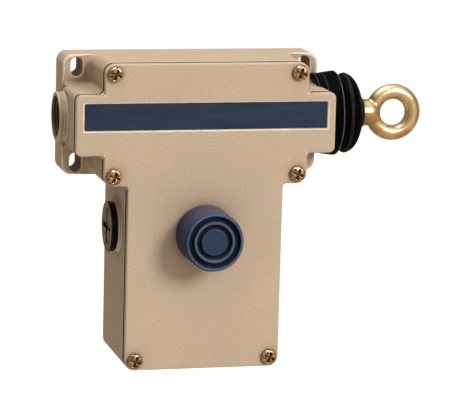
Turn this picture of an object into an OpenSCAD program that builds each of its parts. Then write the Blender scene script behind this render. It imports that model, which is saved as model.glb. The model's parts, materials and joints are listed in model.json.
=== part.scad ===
// Rope pull switch: a T-shaped cast box for a machine's emergency stop rope.
// X runs along the rope, towards the eye. Y runs back into the wall. Z is up.
// The origin is on the mounting plane, on the rope's line and at the middle of the box.

/* [Box] */
// Width of the rear block that carries the ears
block_w = 130; // [128:1:140]
// Height of the rear block
block_h = 60; // [58:1:66]
// Depth of the rear block
ear_d = 18; // [14:1:20]
// Width of the narrow part in front of the rear block
neck_w = 102; // [100:1:106]
// Height of the wide band across the front
band_h = 30; // [29:1:33]
// Width of the leg
leg_w = 78; // [76:1:84]
// Length of the leg below the rear block
leg_h = 92; // [88:1:104]
// Depth of the box from the wall to the front of the cover
box_d = 54; // [53:1:60]
// Thickness of the cast walls
wall = 4; // [3:0.25:4.5]
// Thickness of the cover
cover_t = 3.2; // [3:0.1:4.5]
// Thickness of the gasket under the cover
gasket_t = 2; // [1:0.1:2.4]
// Corner radius of the rear block and of the cover at its screws
corner_r = 5; // [3:0.5:6]
// Corner radius of the wide band
band_r = 3; // [2:0.5:4]
// Fillet radius where two parts of the outline meet
fillet_r = 2.5; // [1.5:0.25:3]
// Rounding of the cover's front edge
cover_edge = 1; // [0.5:0.1:1.5]

/* [Wall slots] */
// Distance from the end of the block to the middle of a slot
slot_inset_x = 7; // [6:0.25:7.5]
// Distance from the top or underside of the block to the middle of a slot
slot_inset_z = 6.2; // [5.8:0.1:6.6]
// Width of a slot
slot_w = 6; // [5:0.5:7]
// Length of a slot
slot_l = 9.5; // [8:0.5:10.5]

/* [Cover screws] */
// Distance of the screws from the edges that they stand next to
screw_inset = 5; // [4.6:0.1:5.4]
// Thread diameter of the cover screws
screw_d = 4; // [3:0.5:4.5]
// Head diameter of the cover screws
screw_head_d = 7.5; // [7:0.25:8]
// Head height of the cover screws
screw_head_h = 2.8; // [2:0.1:3.5]
// Length of the cover screws under the head
screw_l = 16; // [12:1:20]
// Wall of the post around each screw
post_wall = 2.5; // [2:0.1:3]

/* [Label recess] */
// Length of the recess
label_l = 121.4; // [110:0.2:122]
// Height of the recess
label_h = 13.2; // [10:0.2:14]
// Height of the recess's middle above the rope's line
label_z = 4; // [2:0.5:5]
// Depth of the recess
label_recess = 1.2; // [0.5:0.1:1.4]
// Thickness of the label strip
label_t = 0.4; // [0.2:0.1:0.45]

/* [Cable entries] */
// Bore of both cable entries
entry_d = 20.4; // [18:0.1:20.6]
// Outer diameter of the hub at the end entry
hub_d = 24.5; // [24:0.25:28]
// How far the hub stands out of the end wall
hub_l = 4; // [3:0.5:8]
// Width of each of the hub's two bands
hub_band = 1.5; // [1:0.1:1.8]
// Depth of the groove between the hub's bands
hub_groove = 0.5; // [0.3:0.1:1]
// Outer diameter of the side entry's boss and of its plug
plug_d = 25; // [24:0.25:28]
// Height of the side entry's boss
plug_boss_h = 1.8; // [1:0.2:3]
// Height of the side entry below the rope's line
plug_drop = 54; // [50:1:58]
// Distance of the side entry from the wall plane
plug_back = 30; // [24:0.5:32]
// Thickness of the plug's head
plug_head_h = 2.8; // [2:0.1:4]
// Thickness of the plug's seal
plug_seal_t = 0.6; // [0.4:0.1:1]
// Wall of the plug's hollow screw
plug_wall = 2; // [1.5:0.1:2.5]

/* [Pull rod] */
// Distance of the rope's line from the wall plane
rod_back = 22; // [21.8:0.1:23]
// Diameter of the shaft
shaft_d = 10; // [9:0.25:10.5]
// Travel of the rod from slack to full pull
travel = 12; // [8:0.5:12]
// Radius of the eye's middle circle
eye_r = 10.7; // [10:0.1:12]
// Thickness of the eye
eye_t = 7.1; // [6:0.1:8]
// Distance of the eye's middle from the end of the box
eye_out = 39; // [38:0.5:42]
// Diameter of the eyebolt's neck
neck_d = 13; // [12:0.25:13.5]
// Thread diameter of the eyebolt
bolt_d = 8; // [6:0.5:8]
// Width across the flats of the lock nut
nut_w = 13; // [12.5:0.25:14]
// Thickness of the lock nut
nut_h = 4; // [3:0.25:5]
// Distance from the end of the box to the end of the shaft
shaft_out = 15; // [13:0.5:15]
// Outer diameter of the guide bushes
bush_d = 16; // [15:0.25:17]
// Diameter of the guide bushes' flanges
bush_flange_d = 20; // [19:0.25:21]
// Thickness of the guide bushes' flanges
bush_flange_t = 3; // [2:0.25:4]
// Running clearance of the shaft in its bushes, all round
run_gap = 0.05; // [0.02:0.01:0.08]

/* [Bellows] */
// Diameter at the box
bellows_d = 41; // [39:0.5:42]
// Thickness of the rubber
bellows_t = 1.5; // [1:0.1:2]
// Diameter of the cast spigot that the rubber grips
spigot_d = 34; // [32:0.5:35]
// Length of the spigot
spigot_l = 4; // [3:0.5:5]

/* [Main spring] */
// Wire diameter
main_wire = 2; // [1.6:0.1:2.2]
// Diameter at the middle of the wire
main_coil_d = 15.6; // [15:0.1:16.4]
// Number of turns
main_turns = 6; // [4:0.5:6]
// Thickness of the collar that carries the spring
collar_t = 4; // [3:0.25:5]

/* [Contacts] */
// Distance of each contact block from the middle of the box
contact_x = 18; // [17.5:0.25:20]
// Width of a contact block
contact_w = 19; // [17:0.5:19]
// Height of a contact block
contact_h = 31; // [28:0.5:31]
// Distance from the rope's line down to the top of the contact blocks
contact_drop = 15; // [14.5:0.25:16]
// Distance of the plungers from the wall plane
plunger_back = 33; // [32.5:0.25:34]
// Diameter of the plungers
plunger_d = 6; // [5:0.25:6.5]
// Rise of the plungers per unit of rod travel
ramp = 0.3; // [0.2:0.02:0.3]

/* [Reset button] */
// Height of the button below the rope's line
button_drop = 54.4; // [53:0.2:58]
// Diameter of the rubber boot
boot_d = 28; // [27:0.25:30]
// How far the boot stands out of the cover
boot_l = 21.5; // [18:0.5:24]
// Thickness of the boot's side
boot_t = 1.4; // [1:0.1:1.6]
// Diameter of the threaded barrel
barrel_d = 22; // [21:0.25:23]
// Travel of the button
press = 4; // [2:0.25:4]

/* [Latch] */
// Height of the latch pin below the rope's line
pivot_drop = 20; // [19:0.5:21]
// Distance of the latch pin from the wall plane
pivot_back = 10.5; // [10:0.1:11]
// Diameter of the latch pin
pivot_d = 3; // [2.5:0.25:3.25]
// Width of the latch lever
latch_w = 9.6; // [8:0.2:9.8]

/* [Hidden] */

$fn = 64;
fit = 0.05;        // clearance between pieces that are pressed or screwed together
soft_gap = 0.3;    // clearance at soft pieces and between moving faces
gasket_inset = 1.2; // how far the gasket stands back from the edges of the casting's rim
bite = 0.5;        // how far a piece of one casting runs into the next
beige = [0.80, 0.71, 0.60];
blue = [0.20, 0.25, 0.38];
gold = [0.80, 0.62, 0.28];
steel = [0.62, 0.63, 0.65];
black = [0.10, 0.10, 0.11];
brass = [0.78, 0.66, 0.38];

// Planes of the box
face_y = -box_d;
cover_y = face_y + cover_t;
rim_y = cover_y + gasket_t;
end_x = block_w / 2;
inner_x = end_x - wall;
foot_z = -block_h / 2 - leg_h;
rod_y = -rod_back;

// Places of the cover screws: four on the neck and two at the foot
screw_places = concat(
    [for (x = [-1, 1], z = [-1, 1]) [x * (neck_w / 2 - screw_inset), z * (block_h / 2 - screw_inset)]],
    [for (x = [-1, 1]) [x * (leg_w / 2 - screw_inset), foot_z + screw_inset]]
);
screw_hole_r = screw_d / 2 + fit;
post_r = screw_hole_r + post_wall;

// Places of the slots in the ears
slot_places = [
    for (x = [-1, 1], z = [-1, 1])
        [x * (block_w / 2 - slot_inset_x), z * (block_h / 2 - slot_inset_z)]
];

// The rod's own line of pieces
shaft_r = shaft_d / 2;
bush_r = bush_d / 2;
shaft_end_x = end_x + shaft_out;
collar_x = 27;                              // right face of the spring collar at rest
cam_right = collar_x - collar_t - soft_gap;
cam_left = -34;
bracket_t = 1.5;
bracket_y = -wall - bracket_t;              // front face of the bracket's plate
upright_gap = 12;                           // room left of the cam at rest
upright_x = cam_left - upright_gap;         // left face of the upright that holds the left bush
upright_shoulder = 2;                       // how far the left bush stands out behind the upright
shaft_tail = 8;                             // how far the shaft runs on past the upright
shaft_left_x = upright_x - shaft_tail;
spring_seat_x = inner_x - bush_flange_t;    // left face of the right bush's flange
stop_x = collar_x + travel + soft_gap;      // where the collar meets the right bush's nose
nose_r = main_coil_d / 2 - main_wire / 2 - 0.4;
bolt_r = bolt_d / 2;
bolt_depth = 12;                            // how far the eyebolt is screwed into the shaft
nut_x = shaft_end_x;
neck_x = nut_x + nut_h;                     // shoulder of the eyebolt
eye_x = end_x + eye_out;

// The cam: two opposed ramps in front of the shaft, and a latch land under it
cam_z = -8;
cam_half_w = 7;                             // half the width of the part around the shaft
lane_half_w = 4.5;                          // half the width of the ramp lane
plunger_y = -plunger_back;
ramp_angle = atan(ramp);
tip_r = plunger_d / 2;
tip_z = cam_z - (tip_r + soft_gap) / cos(ramp_angle);   // centre of each plunger's round tip
ramp_over = tip_r + 1.5;                    // how far a ramp runs on past the plunger's middle
notch_x = -travel;                          // middle of the notch that the latch drops into
notch_w = latch_w + 1.5;
notch_depth = 2.5;

// Contact blocks
block_top = -contact_drop;
chamber_half = 6;
block_front_wall = 4;                       // wall of the block in front of the chamber
block_front = plunger_y - chamber_half - block_front_wall;
chamber_top = block_top - 4;
chamber_low = block_top - contact_h + 11;
bridge_z = (chamber_top + chamber_low) / 2;
bridge_t = 0.8;
terminal_z = block_top - contact_h + 5;
terminal_dx = 5.6;
fixing_z = block_top - contact_h + 2.3;
terminal_screw_r = 1.5;
terminal_screw_l = 8;
terminal_seat_l = 8;                        // how far a terminal's seat runs up the block
stem_r = 2;
stem_guide = 6.2;                           // depth of the stem's guide under the chamber

// Reset button
button_z = -button_drop;
barrel_r = barrel_d / 2;
barrel_l = 20;
barrel_back = face_y + barrel_l;
plunger_bore = 7;
head_r = 10;
boot_roof = 3.4;                            // thickness of the boot over the plunger's head
head_y = face_y - boot_l + boot_roof;       // front of the plunger's head
head_back = face_y - 9;
pusher_r = 3;
flange_t = 2.5;
lever_face_y = -14;                         // face of the latch lever that the pusher meets

// Latch
pivot_z = -pivot_drop;
pivot_y = -pivot_back;
pivot_r = pivot_d / 2;
lever_t = 3;
ear_x = latch_w / 2 + soft_gap;             // inner face of the latch pin's ears
latch_spring_z = -43;

// A flat shape drawn in X and Z, as deep as the space between two Y values
module deep(front, back) {
    translate([0, back, 0])
        rotate([90, 0, 0])
            linear_extrude(height = back - front)
                children();
}

module round_box(x0, z0, x1, z1, r) {
    translate([x0 + r, z0]) square([x1 - x0 - 2 * r, z1 - z0]);
    translate([x0, z0 + r]) square([x1 - x0, z1 - z0 - 2 * r]);
    for (x = [x0 + r, x1 - r], z = [z0 + r, z1 - r])
        translate([x, z]) circle(r = r);
}

module rod_along_y(front, back, r, x, z) {
    translate([x, back, z]) rotate([90, 0, 0]) cylinder(h = back - front, r = r);
}

module rod_along_x(left, right, r, y, z) {
    translate([left, y, z]) rotate([0, 90, 0]) cylinder(h = right - left, r = r);
}

module ring_along_x(left, right, r_out, r_in, y, z) {
    difference() {
        rod_along_x(left, right, r_out, y, z);
        rod_along_x(left - 1, right + 1, r_in, y, z);
    }
}

module ring_along_y(front, back, r_out, r_in, x, z) {
    difference() {
        rod_along_y(front, back, r_out, x, z);
        rod_along_y(front - 1, back + 1, r_in, x, z);
    }
}

// A wire wound along +Z from its start, with its two ends cut square
module coil(coil_r, wire, length, turns, steps = 18, sides = 8) {
    rings = round(turns * steps);
    rise = length - wire;
    corners = [for (i = [0 : rings], k = [0 : sides - 1])
        let (a = 360 * turns * i / rings, b = 360 * k / sides, r = coil_r + wire / 2 * cos(b))
            [r * cos(a), r * sin(a), wire / 2 + rise * i / rings + wire / 2 * sin(b)]];
    sides_faces = [for (i = [0 : rings - 1], k = [0 : sides - 1])
        let (n = (k + 1) % sides)
            [i * sides + k, (i + 1) * sides + k, (i + 1) * sides + n, i * sides + n]];
    first_face = [for (k = [0 : sides - 1]) k];
    last_face = [for (k = [sides - 1 : -1 : 0]) rings * sides + k];
    polyhedron(points = corners, faces = concat(sides_faces, [first_face, last_face]));
}

// Fills the inner corner at a point with a fillet; sx and sz point into the open side
module inner_fillet(x, z, sx, sz, r) {
    translate([x, z])
        scale([sx, sz])
            difference() {
                translate([-bite, -bite]) square(r + bite);
                translate([r, r]) circle(r = r);
            }
}

// Outline of the cover, and of the casting behind it, set in by a margin
module face_outline(margin) {
    neck_x1 = neck_w / 2 - margin;
    block_z1 = block_h / 2 - margin;
    band_z1 = band_h / 2 - margin;
    leg_x1 = leg_w / 2 - margin;
    r = max(corner_r - margin, 1);
    f = fillet_r + margin;
    round_box(-neck_x1, -block_z1, neck_x1, block_z1, r);
    round_box(-end_x + margin, -band_z1, end_x - margin, band_z1, max(band_r - margin, 1));
    round_box(-leg_x1, foot_z + margin, leg_x1, 0, r);
    for (side = [-1, 1]) {
        for (z = [-1, 1])
            inner_fillet(side * neck_x1, z * band_z1, side, z, f);
        inner_fillet(side * leg_x1, -block_z1, side, -1, f);
    }
}

module slot_outline() {
    straight = (slot_l - slot_w) / 2;
    square([slot_w, 2 * straight], center = true);
    for (z = [-straight, straight])
        translate([0, z]) circle(d = slot_w);
}

module housing() {
    color(beige)
        difference() {
            housing_solid();
            housing_cavity();
            for (p = slot_places)
                deep(-ear_d - 1, 1) translate(p) slot_outline();
            for (p = screw_places)
                rod_along_y(rim_y - 1, rim_y + screw_l, screw_hole_r, p[0], p[1]);
            // End entry, side entry and shaft bush
            rod_along_x(-end_x - hub_l - 1, -inner_x + 1, entry_d / 2, rod_y, 0);
            rod_along_x(-leg_w / 2 - plug_boss_h - 1, -leg_w / 2 + wall + 1, entry_d / 2, -plug_back, -plug_drop);
            rod_along_x(inner_x - 1, end_x + spigot_l + 1, bush_r + fit, rod_y, 0);
            // Tapped holes for the bracket's screws and the earth screw
            for (p = bracket_holes)
                rod_along_y(-wall - 1, -wall + bracket_screw_l + 0.2, bracket_screw_r + fit, p[0], p[1]);
            rod_along_y(earth_y - 1, -wall, screw_hole_r, earth_place[0], earth_place[1]);
        }
}

module housing_solid() {
    deep(-ear_d, 0) round_box(-end_x, -block_h / 2, end_x, block_h / 2, corner_r);
    deep(rim_y, 0) face_outline(0);
    // Hub of the end entry: two bands with a groove between them
    rod_along_x(-end_x - hub_l, -end_x + bite, hub_d / 2 - hub_groove, rod_y, 0);
    rod_along_x(-end_x - hub_l, -end_x - hub_l + hub_band, hub_d / 2, rod_y, 0);
    rod_along_x(-end_x - hub_band, -end_x + bite, hub_d / 2, rod_y, 0);
    // Boss of the side entry and spigot of the bellows
    rod_along_x(-leg_w / 2 - plug_boss_h, -leg_w / 2 + bite, plug_d / 2, -plug_back, -plug_drop);
    rod_along_x(end_x - bite, end_x + spigot_l, spigot_d / 2, rod_y, 0);
}

module housing_cavity() {
    difference() {
        deep(rim_y - 1, -wall) face_outline(wall);
        for (p = screw_places)
            rod_along_y(rim_y - 2, -wall + 1, post_r, p[0], p[1]);
        rod_along_y(earth_y, -wall + 1, earth_r, earth_place[0], earth_place[1]);
        // The end wall's spigot is solid up to the inside of the box
        rod_along_x(inner_x, end_x, bush_r + wall, rod_y, 0);
    }
}

// One of the cover's three convex fields, with its front edge rounded
module cover_field(x0, z0, x1, z1, r) {
    hull()
        for (x = [x0 + r, x1 - r], z = [z0 + r, z1 - r])
            translate([x, cover_y, z])
                rotate([90, 0, 0])
                    rotate_extrude($fn = 32) {
                        square([r, cover_t - cover_edge]);
                        square([r - cover_edge, cover_t]);
                        intersection() {
                            translate([r - cover_edge, cover_t - cover_edge])
                                circle(r = cover_edge, $fn = 24);
                            square([r, cover_t]);
                        }
                    }
}

module cover() {
    color(beige)
        difference() {
            union() {
                cover_field(-neck_w / 2, -block_h / 2, neck_w / 2, block_h / 2, corner_r);
                cover_field(-end_x, -band_h / 2, end_x, band_h / 2, band_r);
                cover_field(-leg_w / 2, foot_z, leg_w / 2, 0, corner_r);
                deep(face_y + cover_edge, cover_y)
                    for (side = [-1, 1]) {
                        for (z = [-1, 1])
                            inner_fillet(side * neck_w / 2, z * band_h / 2, side, z, fillet_r);
                        inner_fillet(side * leg_w / 2, -block_h / 2, side, -1, fillet_r);
                    }
            }
            deep(face_y - 1, face_y + label_recess)
                translate([0, label_z]) square([label_l, label_h], center = true);
            for (p = screw_places)
                rod_along_y(face_y - 1, cover_y + 1, screw_hole_r, p[0], p[1]);
            rod_along_y(face_y - 1, cover_y + 1, barrel_r + fit, 0, button_z);
        }
}

module cover_gasket() {
    color(black)
        deep(cover_y, rim_y)
            difference() {
                face_outline(gasket_inset);
                difference() {
                    face_outline(wall - gasket_inset);
                    for (p = screw_places)
                        translate(p) circle(r = post_r);
                }
                for (p = screw_places)
                    translate(p) circle(r = screw_hole_r);
            }
}

module cover_screw() {
    head_r1 = screw_head_d / 2;
    recess = 1.2;
    difference() {
        rotate([90, 0, 0])
            rotate_extrude()
                polygon([
                    [0, -screw_l - cover_t], [screw_d / 2, -screw_l - cover_t], [screw_d / 2, 0], [head_r1, 0],
                    [head_r1, screw_head_h * 0.6], [head_r1 * 0.86, screw_head_h * 0.88],
                    [head_r1 * 0.55, screw_head_h], [0, screw_head_h],
                ]);
        for (a = [0, 90])
            rotate([0, a + 20, 0])
                translate([-screw_head_d * 0.36, -screw_head_h - 1, -recess / 2])
                    cube([screw_head_d * 0.72, 1 + screw_head_h * 0.7, recess]);
    }
}

module cover_screws() {
    color(gold)
        for (p = screw_places)
            translate([p[0], face_y, p[1]]) cover_screw();
}

module label_strip() {
    margin = 0.2;
    color(blue)
        deep(face_y + label_recess - label_t, face_y + label_recess)
            translate([0, label_z]) square([label_l - 2 * margin, label_h - 2 * margin], center = true);
}

module blanking_plug() {
    seat_x = -leg_w / 2 - plug_boss_h - plug_seal_t;
    cross_w = 2.4;
    cross_l = plug_d * 0.72;
    cross_d = plug_head_h * 0.5;
    color(black)
        difference() {
            union() {
                rod_along_x(seat_x - plug_head_h, seat_x, plug_d / 2, -plug_back, -plug_drop);
                rod_along_x(seat_x - bite, -leg_w / 2 + wall + 2, entry_d / 2 - fit, -plug_back, -plug_drop);
            }
            rod_along_x(seat_x + 0.5, -leg_w / 2 + wall + 3, entry_d / 2 - plug_wall, -plug_back, -plug_drop);
            translate([seat_x - plug_head_h, -plug_back, -plug_drop]) {
                cube([2 * cross_d, cross_l, cross_w], center = true);
                cube([2 * cross_d, cross_w, cross_l], center = true);
            }
        }
}

module plug_seal() {
    color(black)
        ring_along_x(
            -leg_w / 2 - plug_boss_h - plug_seal_t, -leg_w / 2 - plug_boss_h,
            plug_d / 2 - 0.3, entry_d / 2 + fit, -plug_back, -plug_drop
        );
}

// The bellows' outside, as radii at distances from the end wall. Between two of them the skin runs in an S.
bellows_r = bellows_d / 2;
bellows_keys = [
    [0, bellows_r - 0.4], [2.4, bellows_r], [7.4, bellows_r + 0.8], [10.6, bellows_r - 1.6],
    [13.4, bellows_r - 0.3], [17.6, bellows_r - 3.5],
];
bellows_steps = 5;
bellows_tip_x = neck_x + 3.4;
function s_curve(t) = (1 - cos(180 * t)) / 2;
bellows_outside = concat(
    [for (i = [0 : len(bellows_keys) - 2], k = [0 : bellows_steps - 1])
        let (a = bellows_keys[i], b = bellows_keys[i + 1], t = k / bellows_steps)
            [a[1] + (b[1] - a[1]) * s_curve(t), a[0] + (b[0] - a[0]) * t]],
    [[bellows_r - 3.7, 17.8], [bellows_r - 6.5, 19.7], [bellows_r - 10.5, 21.1]]
);
bellows_tip = bellows_tip_x - end_x;

module bellows() {
    grip_r = neck_d / 2 + soft_gap;
    lip_r = grip_r + 1;
    inside = [for (i = [len(bellows_outside) - 1 : -1 : 0])
        if (bellows_outside[i][1] > spigot_l + 1)
            [bellows_outside[i][0] - bellows_t, bellows_outside[i][1] - bellows_t / 2]];
    profile = concat(
        bellows_outside,
        [[lip_r, bellows_tip - 0.8], [lip_r, bellows_tip], [grip_r, bellows_tip], [grip_r, bellows_tip - 2.5]],
        inside,
        [[spigot_d / 2 + bellows_t, spigot_l + soft_gap], [spigot_d / 2 + soft_gap, spigot_l + soft_gap],
         [spigot_d / 2 + soft_gap, soft_gap], [bellows_outside[0][0], soft_gap]]
    );
    color(black)
        translate([end_x, rod_y, 0])
            rotate([0, 90, 0])
                rotate_extrude()
                    polygon([for (p = profile) [p[0], max(p[1], soft_gap)]]);
}

// A wire ring that holds the bellows in the spigot's groove, inside the rubber
module bellows_clamp() {
    color(steel)
        translate([end_x + spigot_l + 1.4, rod_y, 0])
            rotate([0, 90, 0])
                rotate_extrude()
                    translate([spigot_d / 2 - 1, 0]) circle(r = 0.8);
}

module right_guide_bush() {
    color(brass)
        difference() {
            union() {
                rod_along_x(spring_seat_x, end_x + spigot_l - 2.5, bush_r, rod_y, 0);
                rod_along_x(spring_seat_x, inner_x, bush_flange_d / 2, rod_y, 0);
                rod_along_x(stop_x, inner_x, nose_r, rod_y, 0);
            }
            rod_along_x(stop_x - 1, end_x + spigot_l, shaft_r + run_gap, rod_y, 0);
        }
}

module left_guide_bush() {
    left = upright_x - upright_shoulder;
    color(brass)
        difference() {
            union() {
                rod_along_x(left, cam_left - soft_gap, bush_r - 1, rod_y, 0);
                rod_along_x(upright_x + bracket_t, cam_left - soft_gap, bush_flange_d / 2, rod_y, 0);
            }
            rod_along_x(left - 1, cam_left + 1, shaft_r + run_gap, rod_y, 0);
        }
}

module shaft_seal() {
    right = end_x + spigot_l;
    color(black)
        difference() {
            rod_along_x(right - 2.5, right, bush_r, rod_y, 0);
            rod_along_x(right - 4, right + 1, shaft_r + soft_gap, rod_y, 0);
            rod_along_x(right - 1.2, right + 1, shaft_r + 1.6, rod_y, 0);
        }
}

// The bracket: a plate with a wide part behind the shaft and a tongue behind the contact blocks
bracket_right_x = 40;
upright_z = bush_flange_d / 2 + 1.5;        // half the height of the wide part
tongue_side = 2;                            // how far the tongue shows beside the contact blocks
tongue_below = 8;                           // and below them
tongue_x = contact_x + contact_w / 2 + tongue_side;
tongue_z = block_top - contact_h - tongue_below;
// Screws of the bracket, in its four corners
bracket_screw_l = 2.6;                      // depth in the back wall
bracket_screw_r = 1.5;
bracket_edge = 5.5;                         // from the tongue's side to the middle of a screw
bracket_foot_edge = 5;                      // from the tongue's lower edge
bracket_top_edge = 2.5;                     // from the top edge
bracket_holes = [
    [upright_x + bracket_edge + bracket_top_edge, upright_z - bracket_top_edge],
    [bracket_right_x - bracket_edge, upright_z - bracket_top_edge],
    [-tongue_x + bracket_edge, tongue_z + bracket_foot_edge],
    [tongue_x - bracket_edge, tongue_z + bracket_foot_edge],
];

module mechanism_bracket() {
    color(steel)
        difference() {
            union() {
                deep(bracket_y, -wall) {
                    translate([upright_x, -upright_z]) square([bracket_right_x - upright_x, 2 * upright_z]);
                    translate([-tongue_x, tongue_z]) square([2 * tongue_x, -tongue_z - upright_z + bite]);
                }
                // Upright that holds the left bush
                translate([upright_x, rod_y - upright_z + 2, -upright_z + 2])
                    cube([bracket_t, -rod_y + upright_z - 2 - wall, 2 * upright_z - 4]);
                // Two ears for the latch pin
                for (side = [-1, 1])
                    hull() {
                        rod_along_x(ear_side(side), ear_side(side) + bracket_t, 3.4, pivot_y, pivot_z);
                        translate([ear_side(side), bracket_y, pivot_z - 5])
                            cube([bracket_t, bracket_t / 2, 10]);
                    }
            }
            rod_along_x(upright_x - 1, upright_x + bracket_t + 1, bush_r - 1 + fit, rod_y, 0);
            rod_along_x(-ear_x - 5, ear_x + 5, pivot_r + fit, pivot_y, pivot_z);
            for (p = bracket_holes)
                rod_along_y(bracket_y - 1, 0, bracket_screw_r + fit, p[0], p[1]);
            for (side = [-1, 1])
                rod_along_y(bracket_y - 1, 0, terminal_screw_r + fit, side * contact_x, fixing_z);
        }
}

function ear_side(side) = side > 0 ? ear_x : -ear_x - bracket_t;

module flat_screw(r, length, head_r, head_h) {
    difference() {
        rotate([90, 0, 0]) {
            cylinder(h = head_h, r = head_r);
            translate([0, 0, -length]) cylinder(h = length + bite, r = r);
        }
        translate([-head_r - 1, -head_h - 1, -0.4]) cube([2 * head_r + 2, 1 + head_h * 0.4, 0.8]);
    }
}

module bracket_screws() {
    head_h = 1.8;
    color(steel)
        for (p = bracket_holes)
            translate([p[0], bracket_y, p[1]]) flat_screw(bracket_screw_r, bracket_t + bracket_screw_l, 2.8, head_h);
}

module pull_shaft() {
    color(steel)
        difference() {
            rod_along_x(shaft_left_x, shaft_end_x, shaft_r, rod_y, 0);
            rod_along_x(shaft_end_x - bolt_depth - 1, shaft_end_x + 1, bolt_r + fit, rod_y, 0);
            rod_along_z(collar_pin_x, pin_r + fit);
            rod_along_z(cam_pin_x, pin_r + fit);
        }
}

pin_r = 1.5;
collar_pin_x = collar_x - collar_t / 2;
cam_pin_x = (cam_left + cam_right) / 2;

module rod_along_z(x, r, half = 12) {
    translate([x, rod_y, -half]) cylinder(h = 2 * half, r = r);
}

module eyebolt() {
    neck_r = neck_d / 2;
    tube_r = eye_t / 2;
    hole_left = eye_r - tube_r;
    nose_x = eye_x - hole_left - 0.6;        // the neck ends inside the eye's wall
    round_x = eye_x - eye_r - tube_r + 2;
    color(gold)
        translate([0, rod_y, 0]) {
            translate([eye_x, 0, 0])
                rotate([90, 0, 0])
                    rotate_extrude() translate([eye_r, 0]) circle(r = tube_r);
            rotate([0, 90, 0])
                rotate_extrude()
                    polygon([
                        [0, shaft_end_x - bolt_depth], [bolt_r, shaft_end_x - bolt_depth], [bolt_r, neck_x],
                        [neck_r - 0.6, neck_x], [neck_r, neck_x + 0.6], [neck_r, round_x],
                        [neck_r * 0.93, round_x + (nose_x - round_x) * 0.3],
                        [neck_r * 0.75, round_x + (nose_x - round_x) * 0.6],
                        [neck_r * 0.45, round_x + (nose_x - round_x) * 0.85], [0, nose_x],
                    ]);
        }
}

module eyebolt_lock_nut() {
    color(steel)
        difference() {
            rod_with_flats(nut_x + fit, neck_x - fit, nut_w / 2 / cos(30));
            rod_along_x(nut_x - 1, neck_x + 1, bolt_r + fit, rod_y, 0);
        }
}

module rod_with_flats(left, right, corner) {
    translate([left, rod_y, 0]) rotate([0, 90, 0]) cylinder(h = right - left, r = corner, $fn = 6);
}

module spring_collar() {
    color(steel)
        difference() {
            rod_along_x(collar_x - collar_t, collar_x, main_coil_d / 2 + main_wire / 2 + 0.7, rod_y, 0);
            rod_along_x(collar_x - collar_t - 1, collar_x + 1, shaft_r + fit, rod_y, 0);
            rod_along_z(collar_pin_x, pin_r + fit);
        }
}

module collar_pin() {
    color(steel) rod_along_z(collar_pin_x, pin_r, main_coil_d / 2);
}

module cam_pin() {
    color(steel) rod_along_z(cam_pin_x, pin_r, -cam_z - 0.5);
}

// Side view of the ramp lane: ramp A falls to the left, ramp B rises to the left
module ramp_lane() {
    a_x = -contact_x;
    b_x = contact_x;
    a_low = cam_left;
    a_high = a_x + ramp_over;
    b_low = b_x - travel - ramp_over;
    b_high = cam_right;
    polygon([
        [cam_left, -cam_z - 2], [a_low, cam_z + ramp * (a_low - a_x)], [a_high, cam_z + ramp * (a_high - a_x)],
        [b_low - 1, cam_z + ramp * (a_high - a_x)], [b_low, cam_z + ramp * (b_x - b_low)],
        [b_high, cam_z + ramp * (b_x - b_high)], [cam_right, -cam_z - 2],
    ]);
}

module cam_slide() {
    color([0.75, 0.76, 0.74])
        difference() {
            union() {
                deep(rod_y - cam_half_w, rod_y + cam_half_w)
                    translate([cam_left, cam_z]) square([cam_right - cam_left, -2 * cam_z]);
                deep(plunger_y - lane_half_w, rod_y - cam_half_w + bite) ramp_lane();
            }
            rod_along_x(cam_left - 1, cam_right + 1, shaft_r + fit, rod_y, 0);
            rod_along_z(cam_pin_x, pin_r + fit);
            // Notch that the latch's nose drops into when the rope has been pulled
            translate([notch_x - notch_w / 2, rod_y - cam_half_w + 1, cam_z - 1])
                cube([notch_w, 2 * cam_half_w, notch_depth + 1]);
        }
}

module main_spring() {
    left = collar_x + soft_gap;
    color(steel)
        translate([left, rod_y, 0])
            rotate([0, 90, 0])
                coil(main_coil_d / 2, main_wire, spring_seat_x - soft_gap - left, main_turns);
}

module contact_block(x) {
    half = contact_w / 2;
    low = block_top - contact_h;
    difference() {
        deep(block_front, bracket_y)
            round_box(x - half, low, x + half, block_top, 1);
        // Chamber of the moving bridge, open to the front
        translate([x - chamber_half, block_front - 1, chamber_low])
            cube([2 * chamber_half, plunger_y + 7 - block_front + 1, chamber_top - chamber_low]);
        // Way for the plunger above the chamber and for its stem below it
        translate([x, plunger_y, chamber_low + 1]) cylinder(h = contact_h, r = tip_r + run_gap);
        translate([x, plunger_y, chamber_low - stem_guide]) cylinder(h = stem_guide + 1, r = stem_r + run_gap);
        // Seats of the terminal screws, and the way through for the fixing screw
        for (side = [-1, 1]) {
            rod_along_y(
                block_front - 1, block_front + terminal_screw_l + 1, terminal_screw_r + fit,
                x + side * terminal_dx, terminal_z
            );
            translate([x + side * terminal_dx - 2.6, block_front - 1, low - 1])
                cube([5.2, 3, terminal_seat_l + 1]);
        }
        rod_along_y(block_front - 1, bracket_y + 1, terminal_screw_r + fit, x, fixing_z);
    }
}

module contact_block_a() {
    color(black) contact_block(-contact_x);
}

module contact_block_b() {
    color(black) contact_block(contact_x);
}

module contact_block_screws() {
    color(steel)
        for (side = [-1, 1])
            translate([side * contact_x, block_front, fixing_z])
                flat_screw(terminal_screw_r, bracket_y - block_front + bracket_t - 0.2, 2.2, 1.6);
}

module terminal_screws() {
    color(brass)
        for (side = [-1, 1], way = [-1, 1])
            translate([side * contact_x + way * terminal_dx, block_front, terminal_z])
                flat_screw(terminal_screw_r, terminal_screw_l, 2.5, 1.8);
}

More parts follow.
